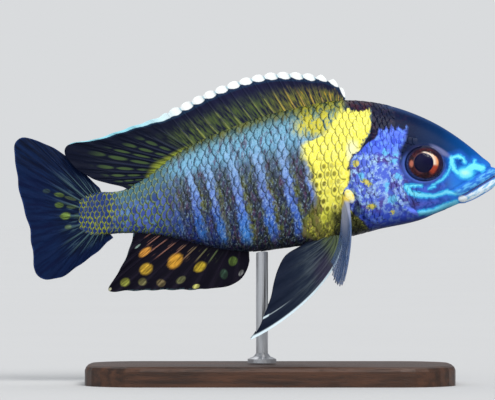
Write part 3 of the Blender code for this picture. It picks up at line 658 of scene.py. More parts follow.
def collar_over(at, colour):
    """The yellow collar between its two borders, and the speckled yellow above and behind it.

    The answers are the colour, how much of it is collar, and the place of the collar's front border.
    """
    front, rear = at.zw.follow(COLLAR_FRONT), at.zw.follow(COLLAR_REAR)
    behind = at.xw - rear
    within = front - at.x + (at.fleck - 0.5) * 2.4 + (at.tone - 0.5) * 0.9
    ragged = at.z + (at.streak - 0.5) * 4.5 + (at.fleck - 0.5) * 2.0
    crown = ragged.step(68.6, 67.7).most(at.x.step(18.6, 17.4))
    collar = behind.step(-1.3, 0.7) * within.step(-0.15, 0.45) * crown
    yellow = mix(at.grain.step(0.35, 0.75) * 0.45, (255, 244, 84), (255, 255, 176))
    yellow = mix(at.rim * 0.5, yellow, (255, 252, 126))
    fading = (at.z.step(48.0, 38.5) * 0.85 + behind.step(4.5, 0.0) * at.z.step(60.0, 54.0) * 0.85).least(1.0)
    pale = (at.grain + at.tone * 0.3).step(0.72, 0.86) * 0.5
    dark_heart = at.heart * at.z.step(58.5, 53.0) * behind.step(9.0, 5.0).most(fading * 0.7)
    dark_heart = dark_heart * at.tone.step(0.0, 0.4) * at.z.step(39.5, 44.0)
    lime = mix(at.z.step(50.0, 42.0) * at.cloud.step(0.4, 0.6) * 0.6, yellow, (206, 214, 58))
    broken = (fading * (at.weave * 0.75 + at.fleck * 0.45 + (1.0 - at.tone) * 0.2)).step(0.46, 0.7)
    murk = mix(at.streak.step(0.45, 0.6), (46, 60, 40), (80, 52, 66))
    yellow = mix(broken * 0.82, lime, murk)
    yellow = mix(dark_heart * 0.85, yellow, (62, 58, 14))
    yellow = mix(pale * (1.0 - fading), yellow, (255, 250, 150))
    yellow = mix(spot(at.xw, at.zw, *PALE_COLLAR).step(1.4, 0.4) * 0.85, yellow, (255, 255, 206))
    above = at.z.step(60.5, 63.5) * at.xw.step(4.0, 9.0) * (front - at.x).step(-0.2, 0.6) * crown
    speckle = (at.weave * 0.5 + at.streak * 0.45 + at.fleck * 0.25 + at.tone * 0.12).step(0.58, 0.72)
    colour = mix(above * 0.6, colour, mix(at.streak.step(0.4, 0.6), (74, 98, 70), (156, 180, 138)))
    colour = mix(above * speckle * 0.92, colour, (218, 206, 54))
    crest = at.level.step(0.87, 0.97) * at.x.step(27.0, 22.0) * at.x.step(-30.0, -20.0)
    colour = mix(crest * 0.7, colour, mix(at.streak.step(0.42, 0.58), (52, 60, 36), (116, 122, 46)))
    nape = at.x.step(17.0, 20.5) * ragged.step(67.7, 68.6)
    colour = mix(nape, colour, mix(at.fleck.step(0.4, 0.6), (24, 28, 58), (58, 26, 44)))
    colour = mix(collar, colour, yellow)
    breast = (at.z + (at.fleck - 0.5) * 3.0).step(45.5, 42.0) * at.xw.step(13.5, 16.5)
    specks = mix((at.grain + at.fleck).step(1.06, 1.2), (20, 30, 36), (122, 128, 52))
    return mix(breast * 0.92, colour, specks), collar, front


def bar_shine(at):
    """Where the flank is brighter and smoother than elsewhere, for the scales' roughness."""
    return at.level.step(0.2, 0.6) * at.fleck.step(0.45, 0.65)


print("bars on each flank:", round(BAR_PHASE[-1][1] - BAR_PHASE[0][1]))

# %% [markdown]
# The forehead is slate, the gill cover violet with lavender, brown and cyan flecks, and the cheek blue.
# Light blue strokes run over the cheek and the snout like brush strokes, and the lower lip is nearly white.
# The gill cover's front border, the strokes and the lips are drawn last, since they lie over the rest.

# %% The colours of the head
def face_colour(at):
    """Slate above, a blue cheek below the eye and the violet patch over the gill cover."""
    x, z = at.x, at.z
    slate = x.step(24.0, 56.0).ramp([
        (0.0, (18, 22, 50)), (0.3, (8, 26, 62)), (0.62, (0, 42, 90)),
        (0.85, (0, 66, 134)), (1.0, (10, 92, 176)),
    ])
    slate = mix(at.fleck.step(0.48, 0.68) * x.step(37.0, 30.0) * 0.65, slate, (54, 32, 58))
    slate = mix(at.grain.step(0.5, 0.8) * 0.3, slate, (30, 64, 98))
    outline = at.level.step(0.94, 0.99) * x.step(26.0, 30.0)
    slate = mix(outline * 0.4, slate, (40, 82, 142))

    cheek = mix(at.fleck.step(0.35, 0.65), (44, 58, 142), (90, 104, 208))
    cheek = mix(at.cloud.step(0.5, 0.6) * 0.7, cheek, (66, 50, 104))
    cheek = mix(x.step(41.5, 47.0) * 0.9, cheek, (48, 140, 238))
    under_eye = (54.5 - (x - 38.0) * 0.12 - z).step(-0.6, 1.4)
    face = mix(under_eye, slate, cheek)
    snout = x.step(46.5, 51.0) * z.step(57.5, 54.6)
    face = mix(snout * 0.85, face, (38, 118, 206))

    violet = mix(at.tone.step(0.15, 0.85), (66, 92, 222), (98, 130, 254))
    violet = mix(at.fleck.step(0.5, 0.66) * 0.7, violet, (122, 172, 254))
    mottled = mix(at.cloud.step(0.38, 0.54), (92, 84, 162), (88, 112, 222))
    mottled = mix(at.fleck.step(0.46, 0.6) * 0.85, mottled, (156, 188, 248))
    mottled = mix(at.grain.step(0.5, 0.62) * at.fleck.step(0.46, 0.58) * 0.9, mottled, (178, 226, 248))
    violet = mix(at.zw.step(58.6, 56.0), violet, mottled)
    violet = mix(at.zw.step(46.5, 41.5) * 0.75, violet, (32, 62, 178))
    for oval in CYAN_SPOTS:
        mark = spot(x + (at.grain - 0.5) * 2.8, at.zw + (at.fleck - 0.5) * 2.6, *oval)
        violet = mix(mark.step(1.35, 0.7) * 0.85, violet, (112, 204, 250))
    crown = VIOLET_TOP - z + (at.streak - 0.5) * 5.0 + (at.fleck - 0.5) * 2.4
    edge = (at.zw.follow(VIOLET_FRONT) - at.xw + (at.fleck - 0.5) * 1.6).step(-0.7, 0.9)
    gap = (x - at.zw.follow(COLLAR_FRONT) - z.step(58.0, 62.5) * 2.0).step(-0.2, 0.5)
    return mix(edge * crown.step(-0.4, 0.8) * gap, face, violet)


def strokes_over(at, face):
    """The light blue strokes, brighter along their middles, and the yellow spots.

    The answers are the colour and how far a stroke glows.
    """
    x, z = at.x + (at.grain - 0.5) * 1.0, at.z + (at.fleck - 0.5) * 1.1
    near = spot(x, z, *BRIGHT_BLOB) - 1.0
    for points, half in FACE_STROKES:
        near = near.least(stroke_distance(x, z, points) - half)
    face = mix(near.step(1.6, 0.1) * x.step(33.0, 37.0) * 0.6, face, (36, 104, 214))
    glow = near.step(0.4, -0.16)
    face = mix(glow * 0.95, face, (60, 184, 240))
    bright = mix(at.level.step(0.4, 0.15), (120, 232, 252), (118, 220, 255))
    face = mix(near.step(-0.03, -0.4), face, bright)
    face = mix(spot(x, z, *BLOB_HEART).step(1.3, 0.3) * 0.8, face, (190, 250, 226))
    face = mix(spot(x, z, *CHEEK_WEDGE).step(1.2, 0.7), face, (104, 132, 250))
    for oval in YELLOW_SPOTS:
        mark = spot(x + (at.grain - 0.5) * 1.6, z + (at.grain - 0.5) * 1.8, *oval)
        edge = mix(at.grain.step(0.4, 0.6), (142, 166, 84), (206, 208, 84))
        face = mix(mark.step(1.2, 0.75) * 0.9, face, mix(mark.step(0.9, 0.2), edge, YOLK))
    return face, glow


def along_mouth(x, z):
    """How far a point is ahead of the mouth's corner along its line, and how far above the line.

    Both are the offset from the corner, multiplied with the line's direction and with its normal.
    """
    run = np.subtract(MOUTH_FRONT, MOUTH_CORNER)
    run_x, run_z = (float(part) for part in run / np.linalg.norm(run))
    off_x, off_z = x - MOUTH_CORNER[0], z - MOUTH_CORNER[1]
    return off_x * run_x + off_z * run_z, off_z * run_x - off_x * run_z


def lips_over(at, face):
    """A blue upper lip, a whitish lower lip and the slit between them, by the height over their line."""
    x, z = at.x, at.z
    ahead, above = along_mouth(x, z)
    on_lips = ahead.step(-0.9, 0.4)
    line = noise(joined(ahead * 0.3, above), 1.6, 3.0)
    upper = above.step(0.1, 0.45) * above.step(2.6, 2.0) * on_lips
    face = mix(upper * 0.9, face, mix(line.step(0.4, 0.6), (48, 116, 214), (104, 190, 246)))
    beside = at.y.abs().step(1.1, 2.2)
    lower = above.step(-0.05, -0.5) * above.step(-2.3, -1.7) * on_lips * beside.most(ahead.step(3.5, 6.0))
    face = mix(lower * 0.95, face, mix(line.step(0.38, 0.6), (136, 198, 232), (238, 250, 255)))
    chin = above.step(-2.2, -3.4) * x.step(46.2, 48.4)
    face = mix(chin * 0.6, face, mix(line.step(0.42, 0.58), (52, 116, 206), (96, 176, 240)))
    slit = above.step(0.5, 0.25) * above.step(-0.2, 0.05) * ahead.step(-0.5, 0.6)
    face = mix(slit, face, (96, 110, 168))
    return mix(spot(x, z, *WHITE_CORNER).step(1.15, 0.7) * beside, face, (244, 252, 255))


def body_markings():
    """The group of the body's colours.

    Rim is 1 on a scale's free edge, Spot is 1 at its heart, and Tone is the scale's own brightness.
    """
    inputs = {"Place": (0.0, 0.0, 0.0), "Rim": 0.0, "Spot": 0.0, "Tone": 0.5}
    tree, given = new_group("body_markings", inputs)
    at = Fields(given)
    colour = stalk_over(at, flank_colour(at))
    colour, collar, front = collar_over(at, colour)
    face, glow = strokes_over(at, face_colour(at))
    face = lips_over(at, face)
    socket = spot(at.x, at.z, *EYE_RING) + (at.fleck - 0.5) * 0.2
    ring_colour = mix(at.z.step(55.5, 58.5), (78, 106, 190), (32, 38, 78))
    face = mix(socket.step(1.15, 0.96) * 0.8, face, ring_colour)
    face = mix(spot(at.x, at.z, *BROW).step(1.4, 0.5) * 0.7, face, (124, 130, 178))
    # Painted shade: the groove behind the gill cover's lower corner is darkened in the colour, as the cover's
    # edge would shade it.
    hollow_shade = spot(at.x + (at.grain - 0.5) * 0.8, at.z, *COVER_HOLLOW_SHADE).step(1.15, 0.75)
    face = mix(hollow_shade * 0.85, face, mix(at.fleck.step(0.45, 0.6), (18, 30, 62), (58, 78, 78)))
    colour = mix((at.x - front).step(-0.3, 0.35), colour, face)
    keel = at.level.step(0.1, 0.0) * at.x.step(51.0, 43.0)
    colour = mix(keel * 0.8, colour, (11, 18, 40))
    shine = (bar_shine(at).most(collar * 0.6) + glow * 0.5).least(1.0)
    return close_group(tree, {"Color": colour, "Shine": shine})


MARKINGS = body_markings()
print("nodes in the body's markings:", len(MARKINGS.nodes))

# %% [markdown]
# Lips, the gill cover's edge, the rim of the eye socket and the nostril are low forms in one skin.
# They could be pieces of their own, but a living fish shows no seam there.
# So each form is a height over the plain body, found from the distance to a line or an outline in side view.

# %% The relief of the skin
COAT_DEPTH = 0.25
LIP_RADIUS = 1.05
UPPER_LIP_AT = 1.4
LOWER_LIP_AT = -1.1
LIP_SUNK = 0.35
EYE_SOCKET = (4.75, 4.2)
GILL_COVER = [
    (24.4, 62.6), (22.8, 59.4), (20.7, 56.8), (19.8, 54.2), (19.9, 51.4), (20.6, 48.4), (21.8, 45.8),
    (22.8, 43.2), (24.2, 41.0), (26.6, 39.9), (30.0, 41.0), (30.3, 43.6), (29.0, 47.2), (28.4, 52.0),
    (28.9, 57.0), (28.2, 61.4),
]
COVER_SAMPLES = 61
GILL_COVER_RISE = 0.5
EDGE_SAMPLES = 25
CHEEK_EDGE = [
    (31.6, 61.0), (30.6, 56.5), (30.2, 51.5), (31.0, 46.8), (33.6, 43.6), (38.5, 42.9), (43.5, 44.0),
]
CHEEK_MUSCLE = (34.0, 47.0, 3.4, 2.6)
SOCKET_DEPTH = 2.6
NOSTRIL = (47.6, 55.8)
NOSTRIL_RADIUS = 0.6
SENSE_PITS = [
    (32.6, 45.2), (35.4, 43.9), (38.6, 43.7), (41.8, 44.6), (44.4, 45.9), (35.2, 50.3), (38.2, 49.4),
    (41.2, 49.7),
]
# Each fold along the mouth: its height over the mouth's line, its depth, its width, and from where ahead of
# the corner to where it deepens. They are the mouth's slit and the folds above and below the lips.
MOUTH_FOLDS = [(0.15, 0.45, 0.22, -0.6, 0.5), (2.75, 0.22, 0.26, -2.5, -0.5), (-2.5, 0.2, 0.3, -2.0, 0.0)]


def line_distance(x, z, path):
    """Distance to a row of points joined by straight lines: to the nearest place on the nearest line."""
    nearest = np.inf
    for start, end in zip(path[:-1], path[1:]):
        dx, dz = end[0] - start[0], end[1] - start[1]
        share = np.clip(((x - start[0]) * dx + (z - start[1]) * dz) / (dx * dx + dz * dz), 0, 1)
        nearest = np.minimum(nearest, np.hypot(x - start[0] - share * dx, z - start[1] - share * dz))
    return nearest


def inside(x, z, path):
    """Whether a point lies in a closed outline: a ray to one side crosses it an odd number of times."""
    crossings = np.zeros(np.shape(x), bool)
    for start, end in zip(path[:-1], path[1:]):
        rise = end[1] - start[1]
        if rise == 0:
            continue
        between = (start[1] > z) != (end[1] > z)
        crossings ^= between & (x < start[0] + (z - start[1]) * (end[0] - start[0]) / rise)
    return crossings


def hump(distance, width):
    """1 on a line and falling to 0 beside it, as the bell curve does."""
    return np.exp(-(distance / width) ** 2)


COVER_PATH = curve(GILL_COVER + GILL_COVER[:1])(np.linspace(0, 1, COVER_SAMPLES)).tolist()
EDGE_PATH = curve(CHEEK_EDGE)(np.linspace(0, 1, EDGE_SAMPLES)).tolist()


def cover_depth(x, z):
    """Distance inside the gill cover's outline, negative outside it."""
    return np.where(inside(x, z, COVER_PATH), 1, -1) * line_distance(x, z, COVER_PATH)


def eye_oval(x, z):
    """Distance from the eye's centre, as a share of its socket's half sizes."""
    return np.hypot((x - EYE_CENTRE[0]) / EYE_SOCKET[0], (z - EYE_CENTRE[1]) / EYE_SOCKET[1])


def cover_relief(x, z):
    """Height of gill cover, cheek edge and cheek muscle over the plain body, in millimetres.

    It is a sum of steps and humps, each over the distance to its line.
    """
    depth = cover_depth(x, z)
    rear = smooth_step(x, 30.5, 25.5)
    height = GILL_COVER_RISE * smooth_step(depth, -0.05, 0.35) * rear
    height -= 0.5 * hump(depth + 0.4, 0.28) * smooth_step(x, 28.5, 25.0)
    height += 0.12 * hump(depth - 0.75, 0.3) * rear
    edge = line_distance(x, z, EDGE_PATH)
    height += (0.2 * hump(edge, 0.45) - 0.14 * hump(edge - 0.9, 0.4)) * smooth_step(x, 46.0, 40.0)
    centre_x, centre_z, half_length, half_height = CHEEK_MUSCLE
    return height + 0.3 * hump(np.hypot((x - centre_x) / half_length, (z - centre_z) / half_height), 0.8)


def relief(x, z):
    """Height of the whole skin over the plain body: the gill cover's relief, lips, eye socket and pits."""
    height = cover_relief(x, z)
    ahead, above = along_mouth(x, z)
    on_lips = smooth_step(ahead, -1.0, 0.6)
    for centre in (UPPER_LIP_AT, LOWER_LIP_AT):
        roll = np.sqrt(np.maximum(0.0, LIP_RADIUS ** 2 - (above - centre) ** 2)) - LIP_SUNK
        height += np.maximum(roll, 0.0) * on_lips * (0.6 + 0.4 * smooth_step(ahead, 0.0, 5.0))
    for level, depth, width, start, full in MOUTH_FOLDS:
        height -= depth * hump(above - level, width) * smooth_step(ahead, start, full)
    oval = eye_oval(x, z)
    height += 0.42 * hump(oval - 1.06, 0.085)
    height -= SOCKET_DEPTH * smooth_step(oval, 1.0, 0.86)
    nostril = np.hypot(x - NOSTRIL[0], z - NOSTRIL[1])
    height += 0.16 * hump(nostril - NOSTRIL_RADIUS, 0.2) - 0.8 * smooth_step(nostril, NOSTRIL_RADIUS, 0.25)
    for pit_x, pit_z in SENSE_PITS:
        height -= 0.2 * hump(np.hypot(x - pit_x, z - pit_z), 0.42)
    return height


print("gill cover's step:", GILL_COVER_RISE, "mm")

# %% [markdown]
# The skin is one closed surface from the snout to the root of the tail fin.
# A sculpted or remeshed head would be as smooth, but a grid can be made denser just where the face needs it.
# Stations along the body lie close together on the head and wider apart on the flank.
# Each point then moves along its own normal by the relief, and its place on the grid is its map.

# %% The skin
HEAD_STATIONS = 270
FLANK_STATIONS = 110
AROUND = 220
CAP_RINGS = 7
TAPER_STATIONS = 13
SNOUT_ROUND = 0.45
LEAST_LENGTH = 1e-9
HEAD_REAR_X = 17.0


def surface_normals(points):
    """Unit normals of a grid that is closed across: the cross product of its two directions."""
    down = np.gradient(points, axis=0)
    across = np.roll(points, -1, axis=1) - np.roll(points, 1, axis=1)
    normal = np.cross(across, down)
    return normal / np.maximum(np.linalg.norm(normal, axis=2, keepdims=True), LEAST_LENGTH)


def skin_points():
    """The skin's grid and its two end points: rings of the body, a round cap at the snout, and the relief."""
    stations = np.concatenate([
        np.linspace(SNOUT_X, HEAD_REAR_X, HEAD_STATIONS),
        np.linspace(HEAD_REAR_X, STALK_END_X, FLANK_STATIONS)[1:],
        STALK_END_X - TAPER_LENGTH * np.linspace(0, 1, TAPER_STATIONS + 1)[1:],
    ])
    angle = 2 * math.pi * np.arange(AROUND) / AROUND
    body = ring(stations[:, None], angle[None, :], -COAT_DEPTH)
    middle = body[0].mean(axis=0)
    share = np.sin(np.linspace(0, math.pi / 2, CAP_RINGS + 1))[1:-1]
    cap = middle + (body[0] - middle) * share[:, None, None]
    cap[:, :, 0] += SNOUT_ROUND * np.sqrt(1 - share ** 2)[:, None]
    points = np.concatenate([cap, body])
    tip = middle + np.array([SNOUT_ROUND, 0, 0])
    normal = surface_normals(points)
    if normal[len(points) // 2, AROUND // 4, 1] < 0:
        normal = -normal
    height = relief(points[..., 0], points[..., 2])
    points = points + normal * height[..., None]
    tip = tip + np.array([relief(tip[0], tip[2]), 0, 0])
    end = points[-1].mean(axis=0)
    return points, tip, end


def skin_material():
    """Wet skin: the body's markings, fine pores and a thin clear coat."""
    made, tree = new_material(
        "wet_skin", Roughness=0.5, Specular_IOR_Level=0.03, Coat_Weight=0.05, Coat_Roughness=0.27)
    place = object_millimetres(tree)
    speckle = noise(place, 1.1, 2.0).step(0.3, 0.7)
    found = use_group(tree, MARKINGS, {"Place": place, "Rim": 0.0, "Spot": 0.0, "Tone": speckle})
    pores = noise(place, 5.0, 3.0, 0.6)
    return dress(made, Base_Color=found["Color"], Normal=bump(tree, pores, 0.00006, 0.6))


def corner_map(rows):
    """The skin's map, one (u, v) for each corner: u runs along the body and v round it, with a seam at 1."""
    u = (np.arange(rows) + 1) / (rows + 1)
    v = np.arange(AROUND + 1) / AROUND
    quads_u = np.stack([u[:-1], u[:-1], u[1:], u[1:]], axis=1)[:, None, :].repeat(AROUND, axis=1)
    quads_v = np.stack([v[:-1], v[1:], v[1:], v[:-1]], axis=1)[None].repeat(rows - 1, axis=0)
    fan_v = np.stack([(v[:-1] + v[1:]) / 2, v[1:], v[:-1]], axis=1)
    maps = [np.stack([quads_u, quads_v], axis=-1).reshape(-1, 4, 2)]
    for tip_u, ring_u, order in ((0.0, u[0], [0, 1, 2]), (1.0, u[-1], [0, 2, 1])):
        fan_u = np.tile([tip_u, ring_u, ring_u], (AROUND, 1))
        maps.append(np.stack([fan_u, fan_v[:, order]], axis=-1))
    return maps


def build_skin():
    """The closed skin with its map. It stands for the nodes of flesh, so no seam shows between them."""
    points, tip, end = skin_points()
    groups = capped_faces(len(points), AROUND)
    everything = np.concatenate([points.reshape(-1, 3), [tip, end]])
    made = mesh_piece("skin", swung(everything), groups, skin_material())
    maps = corner_map(len(points))
    if made.data.loops[0].vertex_index != groups[0][0][0]:
        maps = [part[:, ::-1] for part in maps]
    flat = np.concatenate([part.reshape(-1, 2) for part in maps])
    made.data.uv_layers.new(name="OFBake").data.foreach_set("uv", flat.astype(np.float32).ravel())
    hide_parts("head", "lower_jaw", "gill_cover_left", "gill_cover_right", "trunk", "tail_stalk")
    return made


skin = build_skin()
print("skin:", len(skin.data.polygons), "faces")

# %% [markdown]
# A cichlid's eye is a ball flattened like a lens, with a flat coloured iris behind a clear window.
# The dark pupil is the ball lens itself, which stands a little out of the iris.
# Three surfaces are nested: iris, lens and window. One painted ball would lose the depth between them.

# %% The eyes
EYE_LENGTH = 11.2
EYE_HEIGHT = 10.0
EYE_DEPTH = 6.2
EYE_SUNK = 1.85
IRIS_INSET = 0.1
IRIS_DISH = 0.55
PUPIL_RADIUS = 2.45
PUPIL_HALF_DEPTH = 0.85
PUPIL_INSET = 0.72
PUPIL_CENTRE = (38.15, 55.25)
WINDOW_MARGIN = 0.05
WINDOW_RISE = 0.22
PINK_FLECK = (35.1, 55.0, 0.55, 0.95)
IRIS_OVAL = (38.8, 55.1, 4.5, 3.85)
BALL_ROWS = 47
BALL_AROUND = 72
SIDES = ((-1, "right"), (1, "left"))


def mirrored(points, side):
    """Points of the right side as they are for side -1, and with y turned over for side 1."""
    return points * np.array([1, -side, 1])


def ball(centre, radii, dish=0.0, rows=BALL_ROWS):
    """A ball with its poles along y. dish pulls its outer side in, most at the middle, as on an iris.

    x and z are the radii times the sine of the polar angle and of the turn, and y is minus the depth times
    its cosine.
    """
    polar = np.linspace(0, math.pi, rows + 2)[1:-1][:, None]
    turn = 2 * math.pi * np.arange(BALL_AROUND) / BALL_AROUND
    out = radii[1] * np.cos(polar)
    out = np.where(out > 0, out - dish * np.sin(polar).clip(0, 1) ** 0.5 * np.cos(polar), out)
    points = np.stack(np.broadcast_arrays(
        centre[0] + radii[0] * np.sin(polar) * np.cos(turn), centre[1] - out,
        centre[2] + radii[2] * np.sin(polar) * np.sin(turn)), axis=-1)
    poles = np.array([centre, centre]) + np.array([[0, -radii[1], 0], [0, radii[1], 0]])
    return np.concatenate([points.reshape(-1, 3), poles]), capped_faces(rows, BALL_AROUND)


def iris_material():
    """A dark maroon ring with a cream crescent in front, orange red below it and a pink fleck behind.

    ahead and above are the direction from the pupil's centre, -1 to 1, and out is the distance past its rim.
    A veil of the face's blue lies over the iris's outer edge.
    """
    made, tree = new_material("iris", Roughness=0.5, Specular_IOR_Level=0.04)
    place = object_millimetres(tree)
    x, _, z = split(place)
    across, up = x - PUPIL_CENTRE[0], z - PUPIL_CENTRE[1]
    away = (across * across + up * up).root()
    ahead, above = across / away.most(0.3), up / away.most(0.3)
    fibre = noise(scaled(place, (1.0, 0.2, 1.0)), 1.7, 3.0, 0.65)
    out = away - PUPIL_RADIUS + (fibre - 0.5) * 0.5
    colour = mix(fibre.step(0.42, 0.68), (30, 16, 34), (98, 40, 40))
    colour = mix(out.step(1.0, 2.2), colour, (34, 26, 58))
    red = ahead.step(0.1, 0.5) * above.step(0.1, -0.2) * above.step(-0.92, -0.7) * out.step(1.5, 0.8)
    colour = mix(red * 0.85, colour, (196, 76, 50))
    pink = spot(x, z, *PINK_FLECK) + (fibre - 0.5) * 0.6
    colour = mix(pink.step(1.25, 0.5) * 0.9, colour, (226, 132, 108))
    low = above.step(-0.5, -0.8) * ahead.step(0.1, -0.3) * out.step(0.6, 0.25)
    colour = mix(low * 0.45, colour, (150, 84, 88))
    reach = ahead.most(0.0) ** 3.0 + 0.25
    cream = ahead.step(-0.3, 0.15) * above.step(-0.3, -0.05) * (reach - out).step(-0.18, 0.15)
    colour = mix(cream, colour, mix(out.step(0.2, 1.1), (255, 236, 210), (240, 160, 112)))
    rim = out.step(0.25, 0.05) * above.step(-0.6, 0.2) * 0.35
    colour = mix(rim, colour, (170, 130, 134))
    veil = (spot(x, z, *IRIS_OVAL) + (fibre - 0.5) * 0.16).step(0.93, 1.06)
    colour = mix(veil * 0.9, colour, mix(z.step(55.0, 58.5), (54, 78, 146), (30, 32, 66)))
    return dress(made, Base_Color=colour, Normal=bump(tree, fibre, 0.0001, 0.5))


def window_material():
    """Clear film: see-through, with a mirror that grows towards the rim as Fresnel says."""
    made = bpy.data.materials.new("eye_window")
    made.use_nodes = True
    tree = made.node_tree
    tree.nodes.remove(tree.nodes["Principled BSDF"])
    shine = add_node(tree, "BsdfGlossy", {"Roughness": 0.04})
    share = add_node(tree, "Fresnel", {"IOR": 1.25})
    film = add_node(tree, "MixShader", {0: share, 1: add_node(tree, "BsdfTransparent", {}), 2: shine})
    plug(tree, film, tree.nodes["Material Output"].inputs["Surface"])
    return made


def build_eyes():
    """Iris, pupil and window of both eyes, as three nested balls on one centre in the socket."""
    pupil, _ = new_material("pupil", Base_Color=tint(4, 5, 54), Roughness=0.35, Specular_IOR_Level=0.08)
    middle_y = EYE_SUNK - float(side_at(*EYE_CENTRE))
    centre = np.array([EYE_CENTRE[0], middle_y, EYE_CENTRE[1]])
    in_front = np.array([PUPIL_CENTRE[0], middle_y - EYE_DEPTH / 2 + PUPIL_INSET, PUPIL_CENTRE[1]])
    radii = np.array([EYE_LENGTH, EYE_DEPTH, EYE_HEIGHT]) / 2
    shapes = [
        ("iris", centre, radii - (0, IRIS_INSET, 0), IRIS_DISH, iris_material()),
        ("pupil", in_front, (PUPIL_RADIUS, PUPIL_HALF_DEPTH, PUPIL_RADIUS), 0.0, pupil),
        ("eye_window", centre, radii + (WINDOW_MARGIN, WINDOW_RISE, WINDOW_MARGIN), 0.0, window_material()),
    ]
    for side, word in SIDES:
        for name, middle, size, dish, material in shapes:
            points, groups = ball(middle, size, dish)
            made = mesh_piece(f"{name}_{word}", swung(mirrored(points, side)), groups, material)
            if name == "iris":
                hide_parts(f"eye_{word}")


build_eyes()
print("eyes stand out by", round(EYE_DEPTH / 2 - EYE_SUNK, 2), "mm")

# %% [markdown]
# Scales lie in rows like roof tiles: each one's free edge covers the roots of the two behind it.
# Particles or instances would be lost in an export, so every scale is a thin closed plate in a joined mesh.
# The skin is unrolled first: a place on it is a station along the body and a distance round its girth.
# A lattice is laid on the unrolled skin, finer towards the head and tail, and each plate is rolled back on.

# %% The unrolled skin
ROW_PITCH = [
    (42.0, 1.0), (34.0, 1.15), (28.0, 1.5), (20.0, 2.0), (8.0, 2.3), (-10.0, 2.25), (-25.0, 1.95),
    (-36.0, 1.65), (-44.0, 1.4), (-49.0, 1.2),
]
LENGTH_TO_PITCH = 0.84
UNROLL_FRONT_X = 46.0
UNROLL_STATIONS = 380
UNROLL_ANGLES = 321
UNROLL_GIRTH = 34.0
UNROLL_GIRTHS = 301
INSIDE_LAST_CELL = 1.001
PAST_MIDDLE = math.radians(35)

row_pitch = profile(ROW_PITCH)
unroll_x = np.linspace(UNROLL_FRONT_X, STALK_END_X - TAPER_LENGTH, UNROLL_STATIONS)
unroll_angle = np.linspace(-PAST_MIDDLE, math.pi + PAST_MIDDLE, UNROLL_ANGLES)
unroll_girth = np.linspace(-UNROLL_GIRTH, UNROLL_GIRTH, UNROLL_GIRTHS)
rings = ring(unroll_x[:, None], unroll_angle[None, :])
steps = np.linalg.norm(np.diff(rings, axis=1), axis=2)
walked = np.concatenate([np.zeros((UNROLL_STATIONS, 1)), np.cumsum(steps, axis=1)], axis=1)
walked -= np.array([[np.interp(math.pi / 2, unroll_angle, row)] for row in walked])
angle_table = np.stack([np.interp(unroll_girth, row, unroll_angle) for row in walked])
girth_to_back = np.array([np.interp(0.0, unroll_angle, row) for row in walked])
girth_to_belly = np.array([np.interp(math.pi, unroll_angle, row) for row in walked])


def unrolled(x, girth):
    """A place on the unrolled skin, from 0 to 1 along the body and from 0 to 1 round it."""
    return (unroll_x[0] - x) / (unroll_x[0] - unroll_x[-1]), (girth + UNROLL_GIRTH) / (2 * UNROLL_GIRTH)


def angle_at(x, girth):
    """The angle round the body at a station and a distance from its widest level.

    It is the mean of the table's four nearest values, each weighted by how near it is.
    """
    along, across = unrolled(x, girth)
    i = np.clip(along * (UNROLL_STATIONS - 1), 0, UNROLL_STATIONS - INSIDE_LAST_CELL)
    j = np.clip(across * (UNROLL_GIRTHS - 1), 0, UNROLL_GIRTHS - INSIDE_LAST_CELL)
    i0, j0 = i.astype(int), j.astype(int)
    fi, fj = i - i0, j - j0
    near = angle_table[i0, j0] * (1 - fj) + angle_table[i0, j0 + 1] * fj
    far = angle_table[i0 + 1, j0] * (1 - fj) + angle_table[i0 + 1, j0 + 1] * fj
    return near * (1 - fi) + far * fi


half_girth = (girth_to_belly - girth_to_back)[UNROLL_STATIONS // 2]
print("half the girth at the middle:", round(float(half_girth), 1), "mm")

# %% [markdown]
# One plate is a square grid pressed into a disc, so that it has no pole and its rim is a clean edge.
# It starts a little under the skin and rises towards its free edge, where it stands clear of the next plate.
# Plates vary in place, size and tilt, by draws from a seeded generator, as no two real scales are alike.

# %% The plates
PLATE_CELLS = 6
PLATE_REACH = 2.15
PLATE_WIDTH = 2.0
ROOT_HEIGHT = -0.1
EDGE_HEIGHT = 0.1
PLATE_DOME = 0.025
PLATE_HALF = 0.025
MAP_PATCH = 0.003
LATTICE_FRONT_X = 44.0
LATTICE_REAR_X = STALK_END_X - TAPER_LENGTH + 0.6
LATTICE_STEPS = 1200
MOST_ROWS = 40
PLACE_SPREAD = 0.035
SIZE_SPREAD = 0.035
TURN_SPREAD = 0.05
TILT_SPREAD = 0.14
SPARE_ROWS = 0.35
FULL_HEIGHT_PITCH = 1.9
GROWTH_RINGS = 60.0
PLATE_RIM = 0.999


def plate_grid():
    """Points of one plate and its quads: the disc of a square grid, on top and below, with one rim.

    A square's (s, t) goes to (s times the root of 1 minus t squared over 2, and the same for t).
    """
    line = np.linspace(-1, 1, PLATE_CELLS + 1)
    s, t = (g.ravel() for g in np.meshgrid(line, line, indexing="ij"))
    along, across = s * np.sqrt(1 - t * t / 2), t * np.sqrt(1 - s * s / 2)
    on_rim = np.maximum(np.abs(s), np.abs(t)) > PLATE_RIM
    top = np.arange(len(s))
    below = top.copy()
    below[~on_rim] = len(s) + np.arange(np.count_nonzero(~on_rim))
    quads = grid_faces(PLATE_CELLS + 1, PLATE_CELLS + 1)
    both = np.concatenate([quads, below[quads[:, ::-1]]])
    inner = ~on_rim
    thick = (1 - along ** 2 - across ** 2).clip(0, 1) * PLATE_HALF
    return (np.concatenate([along, along[inner]]), np.concatenate([across, across[inner]]),
            np.concatenate([thick, -thick[inner]]), both)


